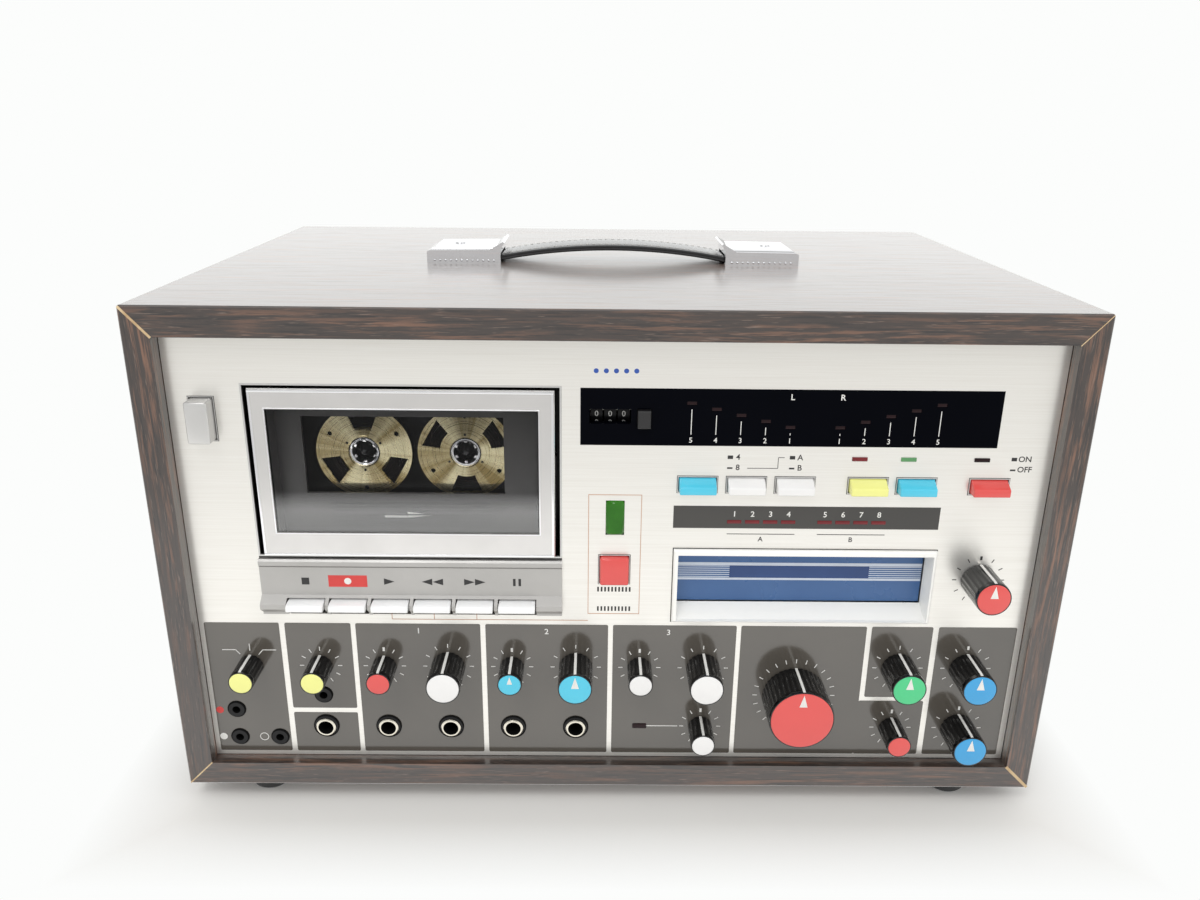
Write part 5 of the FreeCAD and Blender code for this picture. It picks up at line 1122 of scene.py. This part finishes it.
flapLook = {"stripeTop": (104.0, 1.4), "stripeLow": (96.9, 1.0), "thinFrom": 97.9, "thin": 0.35,
            "thinLines": 6, "inset": 1.6, "label": (50.8, 111.6, 97.5, 103.2), "labelThick": 0.1}
flap = measured("cartridge_flap")
onFlap = flap["front"]
thinStripes = [(flapLook["thinFrom"] + i, flapLook["thin"]) for i in reversed(range(flapLook["thinLines"]))]
bm = bmesh.new()
for z, wide in [flapLook["stripeTop"]] + thinStripes + [flapLook["stripeLow"]]:
    addBar(bm, flap["left"] + flapLook["inset"], z, flap["right"] - flapLook["inset"], z, wide, onFlap, 0.06)
makePiece("flapLines", bm, "flapLine", "cartridge_flap")
bm = bmesh.new()
labelLeft, labelRight, labelLow, labelHigh = flapLook["label"]
addBox(bm, labelLeft, labelRight, onFlap - flapLook["labelThick"], onFlap, labelLow, labelHigh)
makePiece("flapLabelPlace", bm, "flapLabel", "cartridge_flap")
print("lamps and flap made")


# raw wood where the mitres have opened, and the rear cover's screws

wearLook = {(-1, -1): 0.6, (-1, 1): 1.0, (1, -1): 1.3, (1, 1): 0.35}     # how wide each mitre has opened
cabinet, panel = measured("cabinet"), measured("front_panel")
bm = bmesh.new()
for sideX, x, innerX in ((-1, cabinet["left"], panel["left"]), (1, cabinet["right"], panel["right"])):
    for sideZ, z, innerZ in ((-1, cabinet["low"], panel["low"]), (1, cabinet["high"], panel["high"])):
        width = wearLook[sideX, sideZ]
        addBar(bm, x - sideX * 0.5, z - sideZ * 0.5, innerX, innerZ, width, cabinet["front"], 0.06)
makePiece("mitreWear", bm, "rawEdge")

screwLook = {"inset": 6.0, "middle": 60.0, "radius": 3.2, "face": 6.4}
rear = measured("rear_cover")
bm = bmesh.new()
for x in (rear["left"] + screwLook["inset"], -screwLook["middle"], screwLook["middle"],
          rear["right"] - screwLook["inset"]):
    for z in (rear["low"] + screwLook["inset"], rear["high"] - screwLook["inset"]):
        addBall(bm, x, rear["back"] - screwLook["face"], z, screwLook["radius"], (1, 0.45, 1),
                Matrix.Rotation(math.pi / 2, 4, "X"), 20)
makePiece("coverScrews", bm, "platedSteel", "root", 60)
print("wear and screws made")


# a pale floor that is white where only the camera sees it, and a plain room of soft light

studio = {"floorSize": 12.0, "nearWhite": 0.05, "fadeTo": 0.04, "nearShine": 1.45, "farShine": 0.85,
          "nearGlass": 3.6, "farGlass": 0.15, "shineFrom": 0.44, "shineTo": 0.48, "rearFrom": -0.16,
          "rearTo": -0.05, "rearShine": 0.4, "worldLight": 0.95, "dimBand": 0.55, "brightTop": 0.75,
          "backShine": 1.35, "aim": (0, 0, 0.1),
          "keyPower": 10.0, "keySize": 0.7, "keyPlace": (-0.5, -1.3, 1.9),
          "fillPower": 4.0, "fillSize": 1.6, "fillPlace": (1.4, -0.9, 1.1)}
paleTone = tone(252, 253, 252)


def threeWays(tree, path, seen, plain, shown, mirrored):
    # one shader for light, one for the camera and one for what is mirrored in metal and glass
    both = put(tree, "ShaderNodeMixShader", (seen, plain, shown)).outputs[0]
    return put(tree, "ShaderNodeMixShader", (path["Is Glossy Ray"], both, mirrored)).outputs[0]


def glowing(tree, kind, color, strength):
    return put(tree, kind, {"Color": color, "Strength": strength}).outputs[0]


def makeFloor():
    material = bpy.data.materials.new("floorPaper")
    material.use_nodes = True
    tree = material.node_tree
    tree.nodes.clear()
    path = put(tree, "ShaderNodeLightPath").outputs
    parts = axesOf(tree, objectCoords(tree))
    outside = []                             # how far a point lies outside the object's own box
    for axis, low, high in zip("XY", *cadBox):
        fromMiddle = sums(tree, "ABSOLUTE", minus(tree, parts[axis], (low + high) / 2))
        outside.append(minus(tree, fromMiddle, (high - low) / 2))
    away = sums(tree, "MAXIMUM", *outside)
    seen = sums(tree, "MAXIMUM", path["Is Camera Ray"], path["Is Transmission Ray"])
    white = times(tree, seen, ranged(tree, away, 0.0, studio["fadeTo"], studio["nearWhite"], 1.0))
    ahead = times(tree, parts["Y"], -1.0)
    soft, sharp = [ranged(tree, ahead, studio["shineFrom"], studio["shineTo"], studio["near" + kind],
                          studio["far" + kind]) for kind in ("Shine", "Glass")]
    # painted reflection: the floor glows only in what glossy surfaces mirror; clear panes mirror a sharper,
    # brighter edge, and the floor behind the object is dimmer
    shine = ranged(tree, path["Is Singular Ray"], 0.0, 1.0, soft, sharp)
    rear = ranged(tree, parts["Y"], studio["rearFrom"], studio["rearTo"], 1.0, studio["rearShine"])
    shine = times(tree, shine, rear)
    paper = put(tree, "ShaderNodeBsdfDiffuse", {"Color": tone(236, 234, 229)}).outputs[0]
    glow = glowing(tree, "ShaderNodeEmission", paleTone, 1.0)
    sheen = glowing(tree, "ShaderNodeEmission", tone(252, 252, 250), shine)
    put(tree, "ShaderNodeOutputMaterial", (threeWays(tree, path, white, paper, glow, sheen),))
    bm = bmesh.new()
    bmesh.ops.create_grid(bm, x_segments=1, y_segments=1, size=studio["floorSize"])
    mesh = bpy.data.meshes.new("floor")
    bm.to_mesh(mesh)
    bm.free()
    mesh.materials.append(material)
    floor = bpy.data.objects.new("floor", mesh)
    bpy.context.scene.collection.objects.link(floor)


def makeWorld():
    world = bpy.data.worlds.new("studio")
    world.use_nodes = True
    tree = world.node_tree
    tree.nodes.clear()
    path = put(tree, "ShaderNodeLightPath").outputs
    seen = sums(tree, "MAXIMUM", path["Is Camera Ray"], path["Is Transmission Ray"])
    heading = axesOf(tree, put(tree, "ShaderNodeTexCoord").outputs["Generated"])
    dim = ranged(tree, heading["Z"], 0.35, 0.5, 0.0, studio["dimBand"])
    lift = ranged(tree, heading["Z"], 0.72, 0.85, 0.0, studio["brightTop"])
    room = plus(tree, minus(tree, 1.0, dim), lift)       # painted reflection: only mirrored in glossy surfaces, a room's darker walls below a bright ceiling
    mirrored = ranged(tree, heading["Y"], 0.1, 0.5, room, studio["backShine"])     # and a bright sheet behind, also only mirrored
    plain = glowing(tree, "ShaderNodeBackground", tone(252, 253, 255), studio["worldLight"])
    shown = glowing(tree, "ShaderNodeBackground", paleTone, 1.0)
    sheen = glowing(tree, "ShaderNodeBackground", paleTone, mirrored)
    put(tree, "ShaderNodeOutputWorld", (threeWays(tree, path, seen, plain, shown, sheen),))
    bpy.context.scene.world = world


makeFloor()
makeWorld()
for name in ("key", "fill"):
    lamp = bpy.data.lights.new(name + "Light", "AREA")
    lamp.energy = studio[name + "Power"]
    lamp.size = studio[name + "Size"]
    place = Vector(studio[name + "Place"])
    holder = bpy.data.objects.new(name + "Light", lamp)
    holder.location = place
    holder.rotation_euler = (Vector(studio["aim"]) - place).to_track_quat("-Z", "Y").to_euler()
    bpy.context.scene.collection.objects.link(holder)

cameraLook = {"place": (-9.156, -373.388, 291.978), "turn": (70.4459, -0.588, -0.2492), "lens": 29.319}
camera = bpy.data.cameras.new("camera")
camera.lens = cameraLook["lens"]
camera.sensor_width = 36
camera.clip_start = 0.01
holder = bpy.data.objects.new("camera", camera)
holder.location = at(*cameraLook["place"])
holder.rotation_euler = [math.radians(angle) for angle in cameraLook["turn"]]
bpy.context.scene.collection.objects.link(holder)
bpy.context.scene.camera = holder
bpy.context.scene.view_settings.view_transform = "Standard"
print("studio ready")
